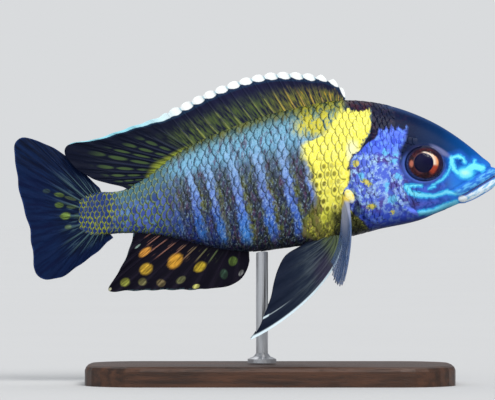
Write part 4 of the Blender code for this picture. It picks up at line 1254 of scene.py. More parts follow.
def lattice(seed, fineness):
    """Stations and girths of the plates' roots on the unrolled skin, every other row half a step on.

    Along a row the steps are counted by summing the distance over the pitch at each place.
    """
    fine_x = np.linspace(LATTICE_FRONT_X, LATTICE_REAR_X, LATTICE_STEPS)
    step = row_pitch(fine_x) * fineness * LENGTH_TO_PITCH
    counted = np.concatenate([[0.0], np.cumsum(-np.diff(fine_x) / ((step[1:] + step[:-1]) / 2))])
    rows = np.arange(-MOST_ROWS, MOST_ROWS + 1)
    ranks = np.arange(0.5, counted[-1], 1.0)
    row, rank = np.meshgrid(rows, ranks, indexing="ij")
    x = np.interp(rank + 0.5 * (row % 2) - 0.5, counted, fine_x).ravel()
    row = row.ravel()
    girth = row * row_pitch(x) * fineness
    draw = np.random.default_rng(seed)
    x = x + draw.normal(0, PLACE_SPREAD, len(x)) * row_pitch(x)
    girth = girth + draw.normal(0, PLACE_SPREAD, len(x)) * row_pitch(x)
    low = np.interp(-x, -unroll_x, girth_to_back)
    high = np.interp(-x, -unroll_x, girth_to_belly)
    spare = SPARE_ROWS * row_pitch(x) * fineness
    kept = (girth > low - spare) & (girth < high + spare)
    return x[kept], girth[kept]


def build_plates(name, side, seed, chosen, fineness, lift):
    """A joined mesh of plates on one side of the fish, where chosen(x, z) says that scales grow.

    A plate's height over the skin rises from its root to its free edge, with a low dome between its sides.
    """
    x, girth = lattice(seed, fineness)
    z = ring(x, angle_at(x, girth))[:, 2]
    kept = chosen(x, z)
    x, girth = x[kept], girth[kept]
    draw = np.random.default_rng(seed + 1)
    count = len(x)
    pitch = row_pitch(x) * fineness
    size = draw.normal(1.0, SIZE_SPREAD, count)[:, None]
    turn = draw.normal(0, TURN_SPREAD, count)[:, None]
    tilt = draw.normal(1.0, TILT_SPREAD, count)[:, None]
    along, across, thick, quads = plate_grid()
    reach = 0.5 * PLATE_REACH * LENGTH_TO_PITCH * pitch[:, None] * size
    spread = 0.5 * PLATE_WIDTH * pitch[:, None] * size
    plate_x = x[:, None] - (along * reach + turn * across * spread)
    narrowing = row_pitch(plate_x) / row_pitch(x)[:, None]
    plate_girth = (girth[:, None] + across * spread - turn * along * reach) * narrowing
    share = (along + 1) / 2
    height = (ROOT_HEIGHT + (EDGE_HEIGHT - ROOT_HEIGHT) * share * tilt) * lift
    height = height + PLATE_DOME * lift * (1 - across ** 2) * (0.4 + 0.6 * share) + thick
    height = height * np.minimum(1.0, pitch[:, None] / FULL_HEIGHT_PITCH)
    angle = angle_at(plate_x, plate_girth)
    plain = ring(plate_x, angle)
    points = ring(plate_x, angle, -COAT_DEPTH + cover_relief(plate_x, plain[..., 2]) + height)
    points[..., 1] *= side
    faces = (quads[None] + (np.arange(count) * len(along))[:, None, None]).reshape(-1, 4)
    made = mesh_piece(name, swung(points), [faces], SCALES)
    on_plate = np.stack([along, across], axis=-1)
    root = np.stack(unrolled(x, girth), axis=-1)
    point_map(made, "OFBake", (root[:, None] + MAP_PATCH / 2 * on_plate[None]).reshape(-1, 2))
    point_map(made, "plate", np.tile((on_plate + 1) / 2, (count, 1)))
    point_value(made, "tone", np.repeat(draw.random(count), len(along)))
    print(name, count, "scales,", 2 * len(faces), "triangles")
    return made


def scale_material():
    """The body's markings with a rim, a heart and a tone of the scale's own, over fine growth rings."""
    made, tree = new_material("scales", Specular_IOR_Level=0.08, Coat_Weight=0.08, Coat_Roughness=0.2)
    along, across = own_map(tree, "plate")
    s, t = along * 2 - 1, across * 2 - 1
    out = (s * s + t * t).root()
    rim = out.step(0.62, 0.98) * s.step(-0.1, 0.25)
    heart = ((s - 0.5) * (s - 0.5) * 1.4 + t * t).root().step(0.42, 0.18)
    tone = own_value(tree, "tone")
    place = object_millimetres(tree)
    found = use_group(tree, MARKINGS, {"Place": place, "Rim": rim, "Spot": heart, "Tone": tone})
    roughness = 0.46 - found["Shine"] * 0.1 + (tone - 0.5) * 0.1
    growth = (out * GROWTH_RINGS).cos() * 0.4 + noise(place, 3.0, 2.0)
    return dress(
        made, Base_Color=found["Color"], Roughness=roughness, Normal=bump(tree, growth, 0.00003, 0.5))


SCALES = scale_material()


def on_flank(x, z):
    """Behind the gill cover and the nape's front, down to the breast."""
    limit = np.where(z > 62.0, 31.0, np.where(z < 41.5, 27.0, 24.5))
    return (cover_depth(x, z) < -0.25) & (x < limit)


def on_gill_cover(x, z):
    """Inside the gill cover's outline, away from its edge."""
    return (cover_depth(x, z) > 1.35) & (x < 29.6)


def on_cheek(x, z):
    """Between the eye, the cheek's edge and the jaw, and above the gill cover's front."""
    clear_of_eye = eye_oval(x, z) > 1.42
    behind_eye = (x > 31.2) & (x < 37.6) & (z > 45.0) & (z < 61.5)
    upper = (x > 28.6) & (x < 33.6) & (z > 56.0) & (z < 63.0) & (cover_depth(x, z) < -0.4)
    return (behind_eye | upper) & clear_of_eye


# Each field of scales: its piece, its seed, where it grows, its fineness, its slot and how far it lifts.
SCALE_FIELDS = [
    ("flank_scales", 11, on_flank, 1.0, "trunk_skin", 1.0),
    ("gill_cover_scales", 21, on_gill_cover, 0.92, "gill_cover_skin", 0.75),
    ("cheek_scales", 31, on_cheek, 1.12, "head_skin", 0.7),
]
for side, word in SIDES:
    for name, seed, chosen, fineness, slot, lift in SCALE_FIELDS:
        build_plates(f"{name}_{word}", side, seed + side, chosen, fineness, lift)

# %% [markdown]
# A fin is a skin stretched over rays. Spines are single rods, and soft rays split twice on their way out.
# A bare sheet with Solidify would have no rays, and a rod for each ray would stay apart from its web.
# Each fin is one closed sheet instead: two faces a little apart, which a ray pushes outwards where it runs.
# Its two parameters are the ray's number, counted from the front, and the share of the way out.

# %% Sheets with rays
RAY_CELLS = 14
ROOT_SUNK = 1.4
WEB_HALF = 0.1
EDGE_HALF = 0.05
ROOT_HALF = 0.95
THINNEST_RAY = 0.17
SHARP_LAPPETS = 3.0
FRAYED = 0.14
BASE_POINTS = 14


def between_rays(rays):
    """Columns across a fin: the ray's number with its fraction, the place on the base and on the margin.

    The fraction is t less a sine of t, so that the columns crowd together at the rays.
    """
    rays = np.array(rays, float)
    t = np.linspace(0, len(rays) - 1, RAY_CELLS * (len(rays) - 1) + 1)
    number = t - 0.45 * np.sin(2 * math.pi * t) / (2 * math.pi)
    i = np.clip(number.astype(int), 0, len(rays) - 2)
    f = (number - i)[:, None]
    placed = rays[i] * (1 - f) + rays[i + 1] * f
    return number, placed[:, 0], placed[:, 1]


def ray_height(number, share, gap, radius, soft):
    """How far the rays stand out of the web: a half ellipse across each, lower and narrower further out.

    A soft ray splits in two from a third of the way out and again from two thirds, so the distance is
    taken to the nearest branch.
    """
    off = np.abs(number - np.round(number))[:, None] * gap
    first = 0.26 * gap * smooth_step(share, 0.34, 1.05) * soft
    second = 0.12 * gap * smooth_step(share, 0.64, 1.05) * soft
    near = np.minimum(np.abs(off - first - second), np.abs(off - np.abs(first - second)))
    high = radius * (1 - 0.66 * share) * (1 - 0.3 * soft * smooth_step(share, 0.3, 1.0))
    wide = np.maximum(high, THINNEST_RAY)
    return high * np.sqrt(np.maximum(0.0, 1 - (near / wide) ** 2))


def web_half(share, root_half):
    """Half the web's thickness: a fillet at the root and a thin edge."""
    return WEB_HALF + (root_half - WEB_HALF) * (1 - share) ** 5 - (WEB_HALF - EDGE_HALF) * share ** 3


def half_thickness(points, number, shares, root_half, radius, soft):
    """Half a fin's thickness: the web's plus the rays' height.

    The gap from ray to ray is the step to the next column over the step of the ray's number.
    """
    gap = np.linalg.norm(np.gradient(points, axis=0) / np.gradient(number)[:, None, None], axis=2)
    return web_half(shares[None], root_half) + ray_height(number, shares[None], gap, radius, soft)


def sheet_fin(slot, ending, material, middle, halves, facing, number, shares, lobe=0.0):
    """A closed sheet: its middle surface plus and minus the half thickness, and a strip round the rim.

    ending tells a left fin's names from a right one's. The sheet's map is (ray number, share of the way
    out), and each point carries its distance from the margin without lobes.
    """
    columns, rows = halves.shape
    halves[:, -1] = EDGE_HALF
    offset = np.asarray(facing, float) * halves[..., None]
    points = np.concatenate([(middle + offset).reshape(-1, 3), (middle - offset).reshape(-1, 3)])
    face = grid_faces(columns, rows)
    other = columns * rows
    c, r = np.arange(columns - 1) * rows, np.arange(rows - 1)
    start = (columns - 1) * rows
    rim = np.concatenate([
        np.stack([c, c + rows], 1), np.stack([c + 2 * rows - 1, c + rows - 1], 1),
        np.stack([r + 1, r], 1), np.stack([start + r, start + r + 1], 1),
    ])
    strip = np.stack([rim[:, 0], rim[:, 1], rim[:, 1] + other, rim[:, 0] + other], axis=1)
    groups = [face, face[:, ::-1] + other, strip]
    made = mesh_piece(f"{slot}_sheet{ending}", swung(points), groups, material)
    flat = np.stack(np.broadcast_arrays(number[:, None], shares[None]), axis=-1)
    point_map(made, "rays", np.concatenate([flat.reshape(-1, 2)] * 2))
    to_edge = np.linalg.norm(middle - middle[:, -1:], axis=2) - np.reshape(lobe, (-1, 1))
    point_value(made, "to_edge", np.concatenate([to_edge.ravel()] * 2))
    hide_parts(slot + ending)
    print(made.name, 2 * sum(len(faces) for faces in groups), "triangles")
    return made


def sunk_base(line, x_front, x_rear, sunk):
    """A fin's base curve: the line of the back or belly, moved into the body."""
    return curve([(x, line(x) + sunk) for x in np.linspace(x_front, x_rear, BASE_POINTS)])


def curled(x, start_x, most, share):
    """A sideways curl that grows with the square of the distance behind its start."""
    rearward = np.clip((start_x - x) / (start_x - TAIL_TIP_X), 0, 1)
    return -most * rearward ** 2 * share


def upright_fin(slot, material, base, margin, rays, rows, lean, bow, radius, soft_from, lappet=0.0,
                root_half=ROOT_HALF):
    """A fin in the fish's middle plane. Rays run from the base curve to the margin curve.

    bow bends a ray to its side as a share of its length, lean is the y of a point, and a lappet raises
    the margin behind each spine by half a wave. Soft rays start at the number soft_from.
    """
    number, at_base, at_margin = between_rays(rays)
    start, end = base(at_base), margin(at_margin)
    shares = np.linspace(0, 1, rows) ** 0.85
    spiny = smooth_step(soft_from - number, -0.1, 0.6)
    in_front = smooth_step(SHARP_LAPPETS - number, -0.1, 0.1)
    wave = np.sin(math.pi * (number % 1.0) ** 0.75).clip(0, 1) ** (0.7 + 0.9 * in_front)
    lobe = lappet * spiny * wave * (1 + 0.4 * in_front)
    fringe = FRAYED * (1 - spiny) * np.cos(2 * math.pi * number)
    way = end - start
    end = end + way / np.linalg.norm(way, axis=1)[:, None] * (lobe + fringe)[:, None]
    side = np.stack([-way[:, 1], way[:, 0]], axis=1)
    flat = start[:, None] + (end - start)[:, None] * shares[None, :, None]
    flat = flat + side[:, None] * bow(at_base[:, None], shares[None])[..., None]
    x, z = flat[..., 0], flat[..., 1]
    soft = smooth_step(number, soft_from - 0.5, soft_from + 0.5)[:, None]
    halves = half_thickness(flat, number, shares, root_half, radius, soft)
    waves = 0.2 * np.sin(2 * math.pi * number) + 0.3 * np.sin(number * 0.9 + 1.0)
    middle = np.stack([x, lean(x, z, shares[None]) + waves[:, None] * shares[None] ** 2, z], axis=-1)
    return sheet_fin(slot, "", material, middle, halves, (0, 1, 0), number, shares, lobe)


print("cells between two rays:", RAY_CELLS)

# %% [markdown]
# The dorsal fin is nearly black, with olive streaks in the web low down and white lappets along its edge.
# Each fin's pattern reads the fin's own map: how near a ray is, and how far it is to the edge.
# Noise that is long along the rays and short across them gives the fine streaks of real fin webs.
# A painted picture of each fin would blur close up, so numbers choose the colours here too.

# %% Colours of the fins
def fin_web_group():
    """What all fins share: nearness to a ray, streaks along the rays, and the height of the web's bumps."""
    tree, given = new_group("fin_web", {"Place": (0.0, 0.0, 0.0), "Number": 0.0, "Share": 0.0})
    number = given["Number"]
    on_ray = ((number.fract() - 0.5).abs() * 2).step(0.55, 1.0)
    streak = noise(joined(number * 3.2, given["Share"] * 2.2), 1.6, 3.0, 0.6)
    height = streak * 0.6 + noise(given["Place"], 4.0, 2.0) * 0.4
    return close_group(tree, {"On Ray": on_ray, "Streak": streak, "Height": height})


FIN_WEB = fin_web_group()


class FinFields:
    """What every fin's colours start from: the place, the fin's own numbers and the web group's."""

    def __init__(self, tree):
        """Reads the fin's map and its points' values, and places the web group."""
        place = object_millimetres(tree)
        self.x, _, self.z = split(place)
        self.number, self.share = own_map(tree, "rays")
        self.edge = own_value(tree, "to_edge")
        web = use_group(tree, FIN_WEB, {"Place": place, "Number": self.number, "Share": self.share})
        self.on_ray, self.streak, self.height = web["On Ray"], web["Streak"], web["Height"]


def fin_material(name, colour_of, gloss=0.08, solid=None):
    """A fin's finish. colour_of gives its colour from its fields, and solid how dense the web is."""
    made, tree = new_material(name, Specular_IOR_Level=gloss)
    at = FinFields(tree)
    if solid:
        dress(made, Alpha=solid(at))
    return dress(
        made, Base_Color=colour_of(at), Roughness=0.62 - at.on_ray * 0.18,
        Normal=bump(tree, at.height, 0.00008, 0.5))


# How deep the white of the lappets is, in millimetres, by the ray's number.
LAPPET_WHITE = [
    (-0.5, 0.5), (2.6, 0.6), (3.1, 1.1), (5.0, 1.25), (8.0, 1.2), (12.0, 1.25), (15.2, 1.3), (16.5, 1.0),
    (18.5, 0.75), (20.2, 0.25), (21.0, -0.6), (26.0, -0.8),
]


def dorsal_colour(at):
    """A dark web with olive and orange low down, short dashes between the soft rays and white lappets.

    A lappet's white is deepest just ahead of its middle, and thins by the square of the distance from there.
    """
    x, number, share, edge, on_ray, streak = at.x, at.number, at.share, at.edge, at.on_ray, at.streak
    dusk = x.step(-34.0, -6.0)
    colour = mix(streak, mix(dusk, (4, 7, 20), (10, 12, 34)), mix(dusk, (15, 22, 46), (34, 36, 72)))
    colour = mix(on_ray * share.step(0.95, 0.3) * 0.35, colour, (56, 66, 92))
    front = x.step(-4.0, 8.0)
    low = share.step(0.75, 0.3) * number.step(17.5, 15.0)
    olive = mix(front, (88, 106, 48), (146, 146, 50))
    colour = mix(low * streak.step(0.34, 0.7) * 0.85, colour, olive)
    thread = on_ray.step(0.5, 0.95) * number.step(15.5, 14.5) * share.step(0.7, 0.35)
    gold = mix(front, (140, 148, 74), (206, 168, 76))
    colour = mix(thread * streak.step(0.35, 0.6) * 0.7, colour, gold)
    orange = x.step(2.0, 9.0) * streak.step(0.6, 0.72) * share.step(0.8, 0.5)
    colour = mix(orange * 0.7, colour, (206, 150, 54))
    rear = number.step(15.3, 16.8)
    shifted = share * 4.4 + (number.floor() * 0.37).fract() + (streak - 0.5) * 0.35
    along = shifted.fract() * 2.1 - 1.05
    across = (number.fract() - 0.5) * 4.8
    dash = (along * along + across * across).step(1.15, 0.3) * number.step(16.2, 18.0)
    dash = dash * share.step(0.82, 0.55) * share.step(0.1, 0.2)
    colour = mix(rear * dash * 0.6, colour, (80, 104, 58))
    foot = share.step(0.16, 0.06) * number.step(15.0, 17.0) * number.step(25.0, 22.5)
    colour = mix(foot * streak.step(0.3, 0.55) * 0.9, colour, (150, 162, 54))
    depth = number.follow(LAPPET_WHITE)
    spiny = number.step(15.5, 14.5)
    bead = (number.fract() - 0.5).abs() * spiny
    drawn = (number.fract() - 0.42) * spiny
    band = (depth - drawn * drawn * 2.2 + (streak - 0.5) * 0.3 - edge).step(-0.12, 0.15)
    white = mix(number.step(13.5, 17.5), (246, 250, 250), (150, 216, 232))
    white = mix(bead.step(0.4, 0.5) * 0.7, white, (110, 184, 206))
    colour = mix(band, colour, white)
    blue = (depth + 0.5 + streak * 0.5 - edge).step(0.0, 0.5) * (1.0 - band) * number.step(20.5, 18.0)
    return mix(blue * 0.25, colour, (40, 84, 120))


def oval_marks(at, marks, colour):
    """Ovals with ragged edges over a colour. Streaks along the rays turn each darker and lighter inside."""
    streak = at.streak
    for *oval, strength, shade in marks:
        away = spot(at.x, at.z, *oval) + (streak - 0.5) * 0.8
        dark = tuple(0.62 * part for part in shade)
        pale = tuple(min(255, 1.12 * part + 18) for part in shade)
        within = mix(streak.step(0.4, 0.6), dark, mix(streak.step(0.56, 0.7), shade, pale))
        colour = mix(away.step(1.15, 0.7) * strength, colour, within)
    return colour


# Each mark: its centre (x, z), half length, half height, slope, strength and colour.
EGG_SPOTS = [
    (-23.75, 30.75, 2.0, 1.9, 0.35, 1.0, (226, 166, 58)), (-31.25, 33.0, 1.6, 1.1, 0.5, 1.0, (226, 158, 70)),
    (-31.0, 28.75, 1.7, 1.5, 0.2, 1.0, (204, 164, 56)), (-17.5, 29.25, 1.6, 1.3, 0.3, 1.0, (194, 166, 50)),
    (-36.25, 25.4, 1.25, 1.1, 0.2, 0.95, (142, 146, 62)), (-31.9, 25.5, 1.1, 1.0, 0.1, 0.9, (118, 114, 74)),
    (-27.25, 25.25, 1.2, 1.0, 0.0, 0.9, (118, 104, 72)), (-22.25, 26.0, 1.2, 0.9, 0.4, 0.9, (124, 126, 84)),
    (-9.25, 30.75, 1.2, 1.2, 0.1, 0.95, (100, 126, 60)), (-11.5, 27.5, 1.0, 1.3, 0.0, 0.8, (60, 88, 72)),
    (-7.25, 27.75, 0.7, 0.7, 0.6, 0.8, (140, 142, 140)), (-18.5, 24.4, 0.9, 0.6, 0.2, 1.0, (224, 222, 126)),
    (-40.1, 23.65, 0.5, 0.45, 0.4, 0.9, (206, 206, 170)), (-33.1, 34.4, 0.8, 0.35, 0.7, 0.8, (136, 158, 148)),
]
TAIL_SPOTS = [
    (-51.2, 42.0, 1.4, 0.95, 0.05, 1.0, (112, 138, 66)), (-52.8, 44.75, 1.2, 0.75, 0.0, 0.95, (92, 116, 60)),
    (-52.8, 47.3, 1.3, 0.6, -0.1, 0.9, (96, 120, 64)), (-50.5, 39.25, 1.0, 0.6, 0.1, 0.7, (92, 112, 76)),
    (-49.6, 44.3, 1.4, 0.5, 0.0, 0.7, (98, 120, 78)), (-47.7, 42.0, 1.5, 0.8, 0.0, 0.6, (70, 96, 84)),
    (-49.9, 46.4, 1.5, 0.45, -0.25, 0.7, (106, 126, 88)), (-56.0, 48.25, 1.0, 0.6, 0.0, 0.6, (66, 88, 84)),
]


def anal_colour(at):
    """A black web with pale threads low down, egg spots and a thin blue line along part of the edge."""
    share, streak, on_ray = at.share, at.streak, at.on_ray
    colour = mix(streak, (5, 5, 14), (18, 14, 32))
    colour = mix(on_ray * 0.35, colour, (38, 32, 48))
    thread = on_ray.step(0.55, 0.95).most(streak.step(0.58, 0.68))
    thread = thread * share.step(0.1, 0.16) * share.step(0.46, 0.3)
    pale = mix(at.x.step(-26.0, -12.0), (174, 122, 104), (112, 134, 82))
    threaded = thread * at.number.step(2.2, 3.2) * at.number.step(10.6, 9.6)
    colour = oval_marks(at, EGG_SPOTS, mix(threaded * 0.55, colour, pale))
    line = at.edge.step(0.6, 0.2) * streak.step(0.45, 0.6) * at.x.step(-16.0, -20.0) * at.x.step(-39.0, -36.0)
    return mix(line * 0.6, colour, (70, 100, 108))


def caudal_colour(at):
    """A deep blue web with paler threads at its root, a few dull spots and a blue edge."""
    share, streak = at.share, at.streak
    deep = mix(at.z.step(58.0, 50.0) * share.step(0.35, 0.8), (4, 9, 28), (4, 16, 52))
    colour = mix(streak.step(0.3, 0.75), deep, (10, 32, 70))
    colour = mix(at.on_ray * 0.35, colour, (26, 46, 88))
    thread = at.on_ray.step(0.2, 0.8).most(streak.step(0.54, 0.66))
    low = share.step(0.62, 0.2) * thread * share.step(0.06, 0.14)
    colour = oval_marks(at, TAIL_SPOTS, mix(low * 0.62, colour, (84, 112, 112)))
    rim = at.edge.step(0.5, 0.2) * streak.step(0.35, 0.6)
    return mix(rim * 0.3, colour, (56, 84, 150))


def pelvic_colour(at):
    """A smoky web with a plum and an olive root, and a white front edge that ends in a bead."""
    number, share, streak = at.number, at.share, at.streak
    colour = mix(streak, (16, 26, 46), (36, 48, 66))
    colour = mix(at.on_ray * share.step(0.9, 0.2) * 0.6, colour, (78, 88, 96))
    smoky = streak.step(0.44, 0.64) * share.step(0.8, 0.15) * number.step(8.0, 4.0)
    colour = mix(smoky * 0.5, colour, (100, 112, 118))
    colour = mix(share.step(0.45, 0.95) * 0.55, colour, (8, 16, 40))
    plum = share.step(0.12, 0.24) * share.step(0.5, 0.3) * number.step(3.0, 1.0)
    colour = mix(plum * 0.5, colour, (64, 52, 80))
    colour = mix(share.step(0.26, 0.08) * streak.step(0.3, 0.6) * 0.7, colour, (116, 132, 84))
    front = number.step(0.3, 0.14) * share.step(0.02, 0.08)
    off_second = (number - 1.0).abs()
    second = off_second.step(0.045, 0.015) * share.step(0.68, 0.88) * 0.35
    bead = off_second.step(0.08, 0.03) * share.step(0.935, 0.95) * 0.8
    return mix(front.most(second).most(bead), colour, (220, 238, 246))


def pectoral_colour(at):
    """Smoke that thins from lavender at the root to blue, with a yellow foot."""
    smoke = mix(at.share.step(0.55, 0.15), (60, 92, 142), (184, 186, 204))
    colour = mix(at.streak.step(0.35, 0.7) * 0.5, smoke, (128, 144, 176))
    colour = mix(at.on_ray * 0.35, colour, (84, 98, 132))
    return mix(at.share.step(0.12, 0.05), colour, (214, 190, 76))


def pectoral_solid(at):
    """The web is glassy: it lets more light through towards its edge and between its rays."""
    return (at.on_ray * 0.3 + 0.34 + at.share.step(0.7, 0.1) * 0.55).least(1.0)


FIN_SKINS = {
    "dorsal": fin_material("dorsal_fin_skin", dorsal_colour),
    "anal": fin_material("anal_fin_skin", anal_colour),
    "caudal": fin_material("caudal_fin_skin", caudal_colour),
    "pelvic": fin_material("pelvic_fin_skin", pelvic_colour, gloss=0.1),
    "pectoral": fin_material("pectoral_fin_skin", pectoral_colour, gloss=0.3, solid=pectoral_solid),
}
print("fin finishes:", len(FIN_SKINS))

# %% [markdown]
# Dorsal, anal and tail fin stand in the fish's middle plane, each between a base curve and a margin curve.
# The curves are read from a side view, and the spines and rays are set out along both by their shares.
# Modelling each ray by hand would be slower, and no ray would follow when a curve is moved.

# %% The fins of the middle plane
DORSAL_MARGIN = [
    (18.9, 71.6), (17.0, 74.4), (13.5, 76.1), (8.0, 77.1), (1.0, 77.2), (-7.0, 75.6), (-15.0, 72.6),
    (-25.0, 67.8), (-35.0, 64.2), (-43.0, 61.4), (-51.4, 58.5), (-50.6, 56.2), (-47.2, 53.0), (-43.0, 50.8),
    (-38.5, 49.7), (-35.0, 48.6),
]
DORSAL_SPINES = 16
DORSAL_SOFT_RAYS = 10
DORSAL_SPINES_BASE_SHARE = 0.70
DORSAL_SPINES_MARGIN_SHARE = 0.50
DORSAL_TIP_SHARE = 0.755
DORSAL_LEAN = 1.3
DORSAL_BASE = (18.4, -32.0)
ANAL_BASE = (-5.2, -31.0)
ANAL_MARGIN = [
    (-4.9, 32.0), (-5.5, 29.2), (-7.0, 26.5), (-10.0, 24.6), (-14.5, 23.9), (-27.5, 23.5), (-36.0, 23.3),
    (-40.6, 23.4), (-39.2, 25.9), (-37.4, 28.9), (-35.6, 32.6), (-34.0, 38.0),
]
ANAL_SPINES = [(0.0, 0.02), (0.08, 0.14), (0.17, 0.26)]
ANAL_SOFT_RAYS = 9
CAUDAL_BASE = [(-41.9, 47.2), (-42.9, 45.8), (-43.1, 42.6), (-42.7, 39.4), (-40.8, 38.4)]
CAUDAL_MARGIN = [
    (-42.6, 48.9), (-45.4, 51.7), (-49.0, 55.4), (-53.6, 58.7), (-58.6, 60.9), (-62.6, 61.6), (-63.7, 60.4),
    (-63.6, 54.0), (-62.4, 46.4), (-60.3, 39.0), (-59.3, 31.5), (-58.4, 27.0), (-56.6, 26.2), (-53.0, 26.4),
    (-48.0, 29.5), (-43.0, 33.2), (-39.3, 36.7),
]
CAUDAL_RAYS = 16


def build_dorsal_fin():
    """Spines crowd towards the front of the base by a power of their share, and soft rays follow evenly."""
    spines = [
        (DORSAL_SPINES_BASE_SHARE * k ** DORSAL_LEAN, DORSAL_SPINES_MARGIN_SHARE * k)
        for k in np.linspace(0, 1, DORSAL_SPINES)
    ]
    half = DORSAL_SOFT_RAYS // 2
    at_base = np.linspace(DORSAL_SPINES_BASE_SHARE, 1.0, DORSAL_SOFT_RAYS + 1)
    at_margin = [
        *np.linspace(DORSAL_SPINES_MARGIN_SHARE, DORSAL_TIP_SHARE, half + 1),
        *np.linspace(DORSAL_TIP_SHARE, 1.0, half + 1)[1:],
    ]
    return upright_fin(
        "dorsal_fin", FIN_SKINS["dorsal"], base=sunk_base(back, *DORSAL_BASE, -ROOT_SUNK),
        margin=curve(DORSAL_MARGIN), rays=spines + list(zip(at_base, at_margin))[1:], rows=64,
        lean=lambda x, z, s: curled(x, -18.0, 4.0, s), bow=lambda place, s: 0.05 * s * (1 - s),
        radius=0.4, soft_from=DORSAL_SPINES - 0.5, lappet=0.8)


def build_anal_fin():
    """Three short spines, then soft rays set out evenly along both curves."""
    soft = zip(*(np.linspace(share, 1.0, ANAL_SOFT_RAYS + 1)[1:] for share in ANAL_SPINES[-1]))
    return upright_fin(
        "anal_fin", FIN_SKINS["anal"], base=sunk_base(belly, *ANAL_BASE, ROOT_SUNK),
        margin=curve(ANAL_MARGIN), rays=ANAL_SPINES + list(soft), rows=76,
        lean=lambda x, z, s: curled(x, -14.0, 3.2, s), bow=lambda place, s: -0.05 * s * (1 - s),
        radius=0.38, soft_from=len(ANAL_SPINES) - 0.5)


def build_caudal_fin():
    """Rays fan out a little wider at the corners, by a power of their distance from the middle."""
    shares = np.linspace(0, 1, CAUDAL_RAYS)
    spread = 0.5 + 0.5 * np.sign(shares - 0.5) * np.abs(2 * shares - 1) ** 0.9
    return upright_fin(
        "caudal_fin", FIN_SKINS["caudal"], base=curve(CAUDAL_BASE), margin=curve(CAUDAL_MARGIN),
        rays=list(zip(shares, spread)), rows=96, lean=lambda x, z, s: 1.4 * s * ((z - 45.0) / 18.0) ** 2,
        bow=lambda place, s: 0.1 * (place - 0.5) * s * (1 - s), radius=0.36, soft_from=-1.0, root_half=0.55)


build_dorsal_fin()
build_anal_fin()
build_caudal_fin()

# %% [markdown]
# The pelvic fins trail below the breast, each with a stout white front edge that ends in a point.
# The pectoral fin is a glassy fan on a fleshy knob, held out and down, so a side view sees it nearly edge on.
# Each right fin's points are mirrored for the left one before the tail's swing moves them.

# %% The paired fins
PELVIC_ROOT = (17.3, 37.2)
PELVIC_MARGIN = [
    (-5.0, 11.2), (-2.7, 14.4), (-1.3, 17.9), (0.1, 21.2), (1.0, 25.4), (2.0, 28.7), (3.8, 32.0), (7.6, 34.5),
    (11.4, 36.7),
]
PELVIC_TIPS = [0.0, 0.2, 0.38, 0.54, 0.72, 1.0]
PELVIC_LENGTH_ROWS = 110
PELVIC_RAY_RADIUS = 0.42
PELVIC_SPLAY = 0.16
PECTORAL_RAYS = 11
PECTORAL_ROOT = (18.5, 46.2)
PECTORAL_KNOB = (19.7, 46.9)
PECTORAL_ALONG = (0.05, -0.46, -0.886)
PECTORAL_ACROSS = (0.20, -0.864, 0.46)
PECTORAL_LENGTH = 25.0
PECTORAL_LENGTH_ROWS = 90
PECTORAL_HALF_SPREAD = 21.5
PECTORAL_LONGEST = 0.66
PECTORAL_RAY_RADIUS = 0.26
KNOB_RADII = (1.15, 1.0, 1.85)
KNOB_ROWS = 17
KNOB_TIP = math.radians(24)


def pelvic_shape():
    """Middle surface and half thicknesses of the right pelvic fin, splayed outwards as it goes down."""
    x, z = PELVIC_ROOT
    base = curve([(x, z), (x - 1.7, z + 0.2), (x - 3.4, z + 0.3)])
    rays = list(zip(np.linspace(0, 1, len(PELVIC_TIPS)), PELVIC_TIPS))
    number, at_base, at_margin = between_rays(rays)
    start, end = base(at_base), curve(PELVIC_MARGIN)(at_margin)
    shares = np.linspace(0, 1, PELVIC_LENGTH_ROWS) ** 0.9
    way = end - start
    side = np.stack([-way[:, 1], way[:, 0]], axis=1)
    bow = 0.36 * (1 - 0.9 * at_base[:, None]) * shares ** 0.55 * (1 - shares) ** 0.9
    flat = start[:, None] + way[:, None] * shares[None, :, None] + side[:, None] * bow[..., None]
    soft = smooth_step(number, 0.2, 0.9)[:, None]
    halves = half_thickness(flat, number, shares, 0.75, PELVIC_RAY_RADIUS, soft)
    ripple = 0.25 * np.sin(2 * math.pi * number)[:, None] * shares[None] ** 1.5
    y = -(2.4 + PELVIC_SPLAY * (z - flat[..., 1])) + ripple
    return np.stack([flat[..., 0], y, flat[..., 1]], axis=-1), halves, number, shares


def pectoral_shape():
    """The right pectoral fin: rays turn from one side of its axis to the other, longest past the middle."""
    along, across = (np.array(v) / np.linalg.norm(v) for v in (PECTORAL_ALONG, PECTORAL_ACROSS))
    facing = np.cross(along, across)
    root = np.array([PECTORAL_ROOT[0], 0.9 - float(side_at(*PECTORAL_ROOT)), PECTORAL_ROOT[1]])
    places = np.linspace(0, 1, PECTORAL_RAYS)
    number, place, _ = between_rays(list(zip(places, places)))
    shares = np.linspace(0, 1, PECTORAL_LENGTH_ROWS)
    turn = np.radians(PECTORAL_HALF_SPREAD * (2 * place - 1))
    off_longest = np.abs(place - PECTORAL_LONGEST) / PECTORAL_LONGEST
    reach = PECTORAL_LENGTH * (1 - 0.42 * off_longest ** 1.6) + 0.35 * np.cos(2 * math.pi * number)
    ray = along * np.cos(turn)[:, None] + across * np.sin(turn)[:, None]
    start = root + across * 3.0 * (place - 0.5)[:, None]
    middle = start[:, None] + ray[:, None] * (reach[:, None] * shares)[..., None]
    middle[..., 0] -= 2.6 * shares ** 3
    middle = middle + facing * (0.22 * np.sin(2 * math.pi * number)[:, None] * shares ** 1.5)[..., None]
    halves = half_thickness(middle, number, shares, 0.6, PECTORAL_RAY_RADIUS, 1.0)
    return middle, halves, facing, number, shares


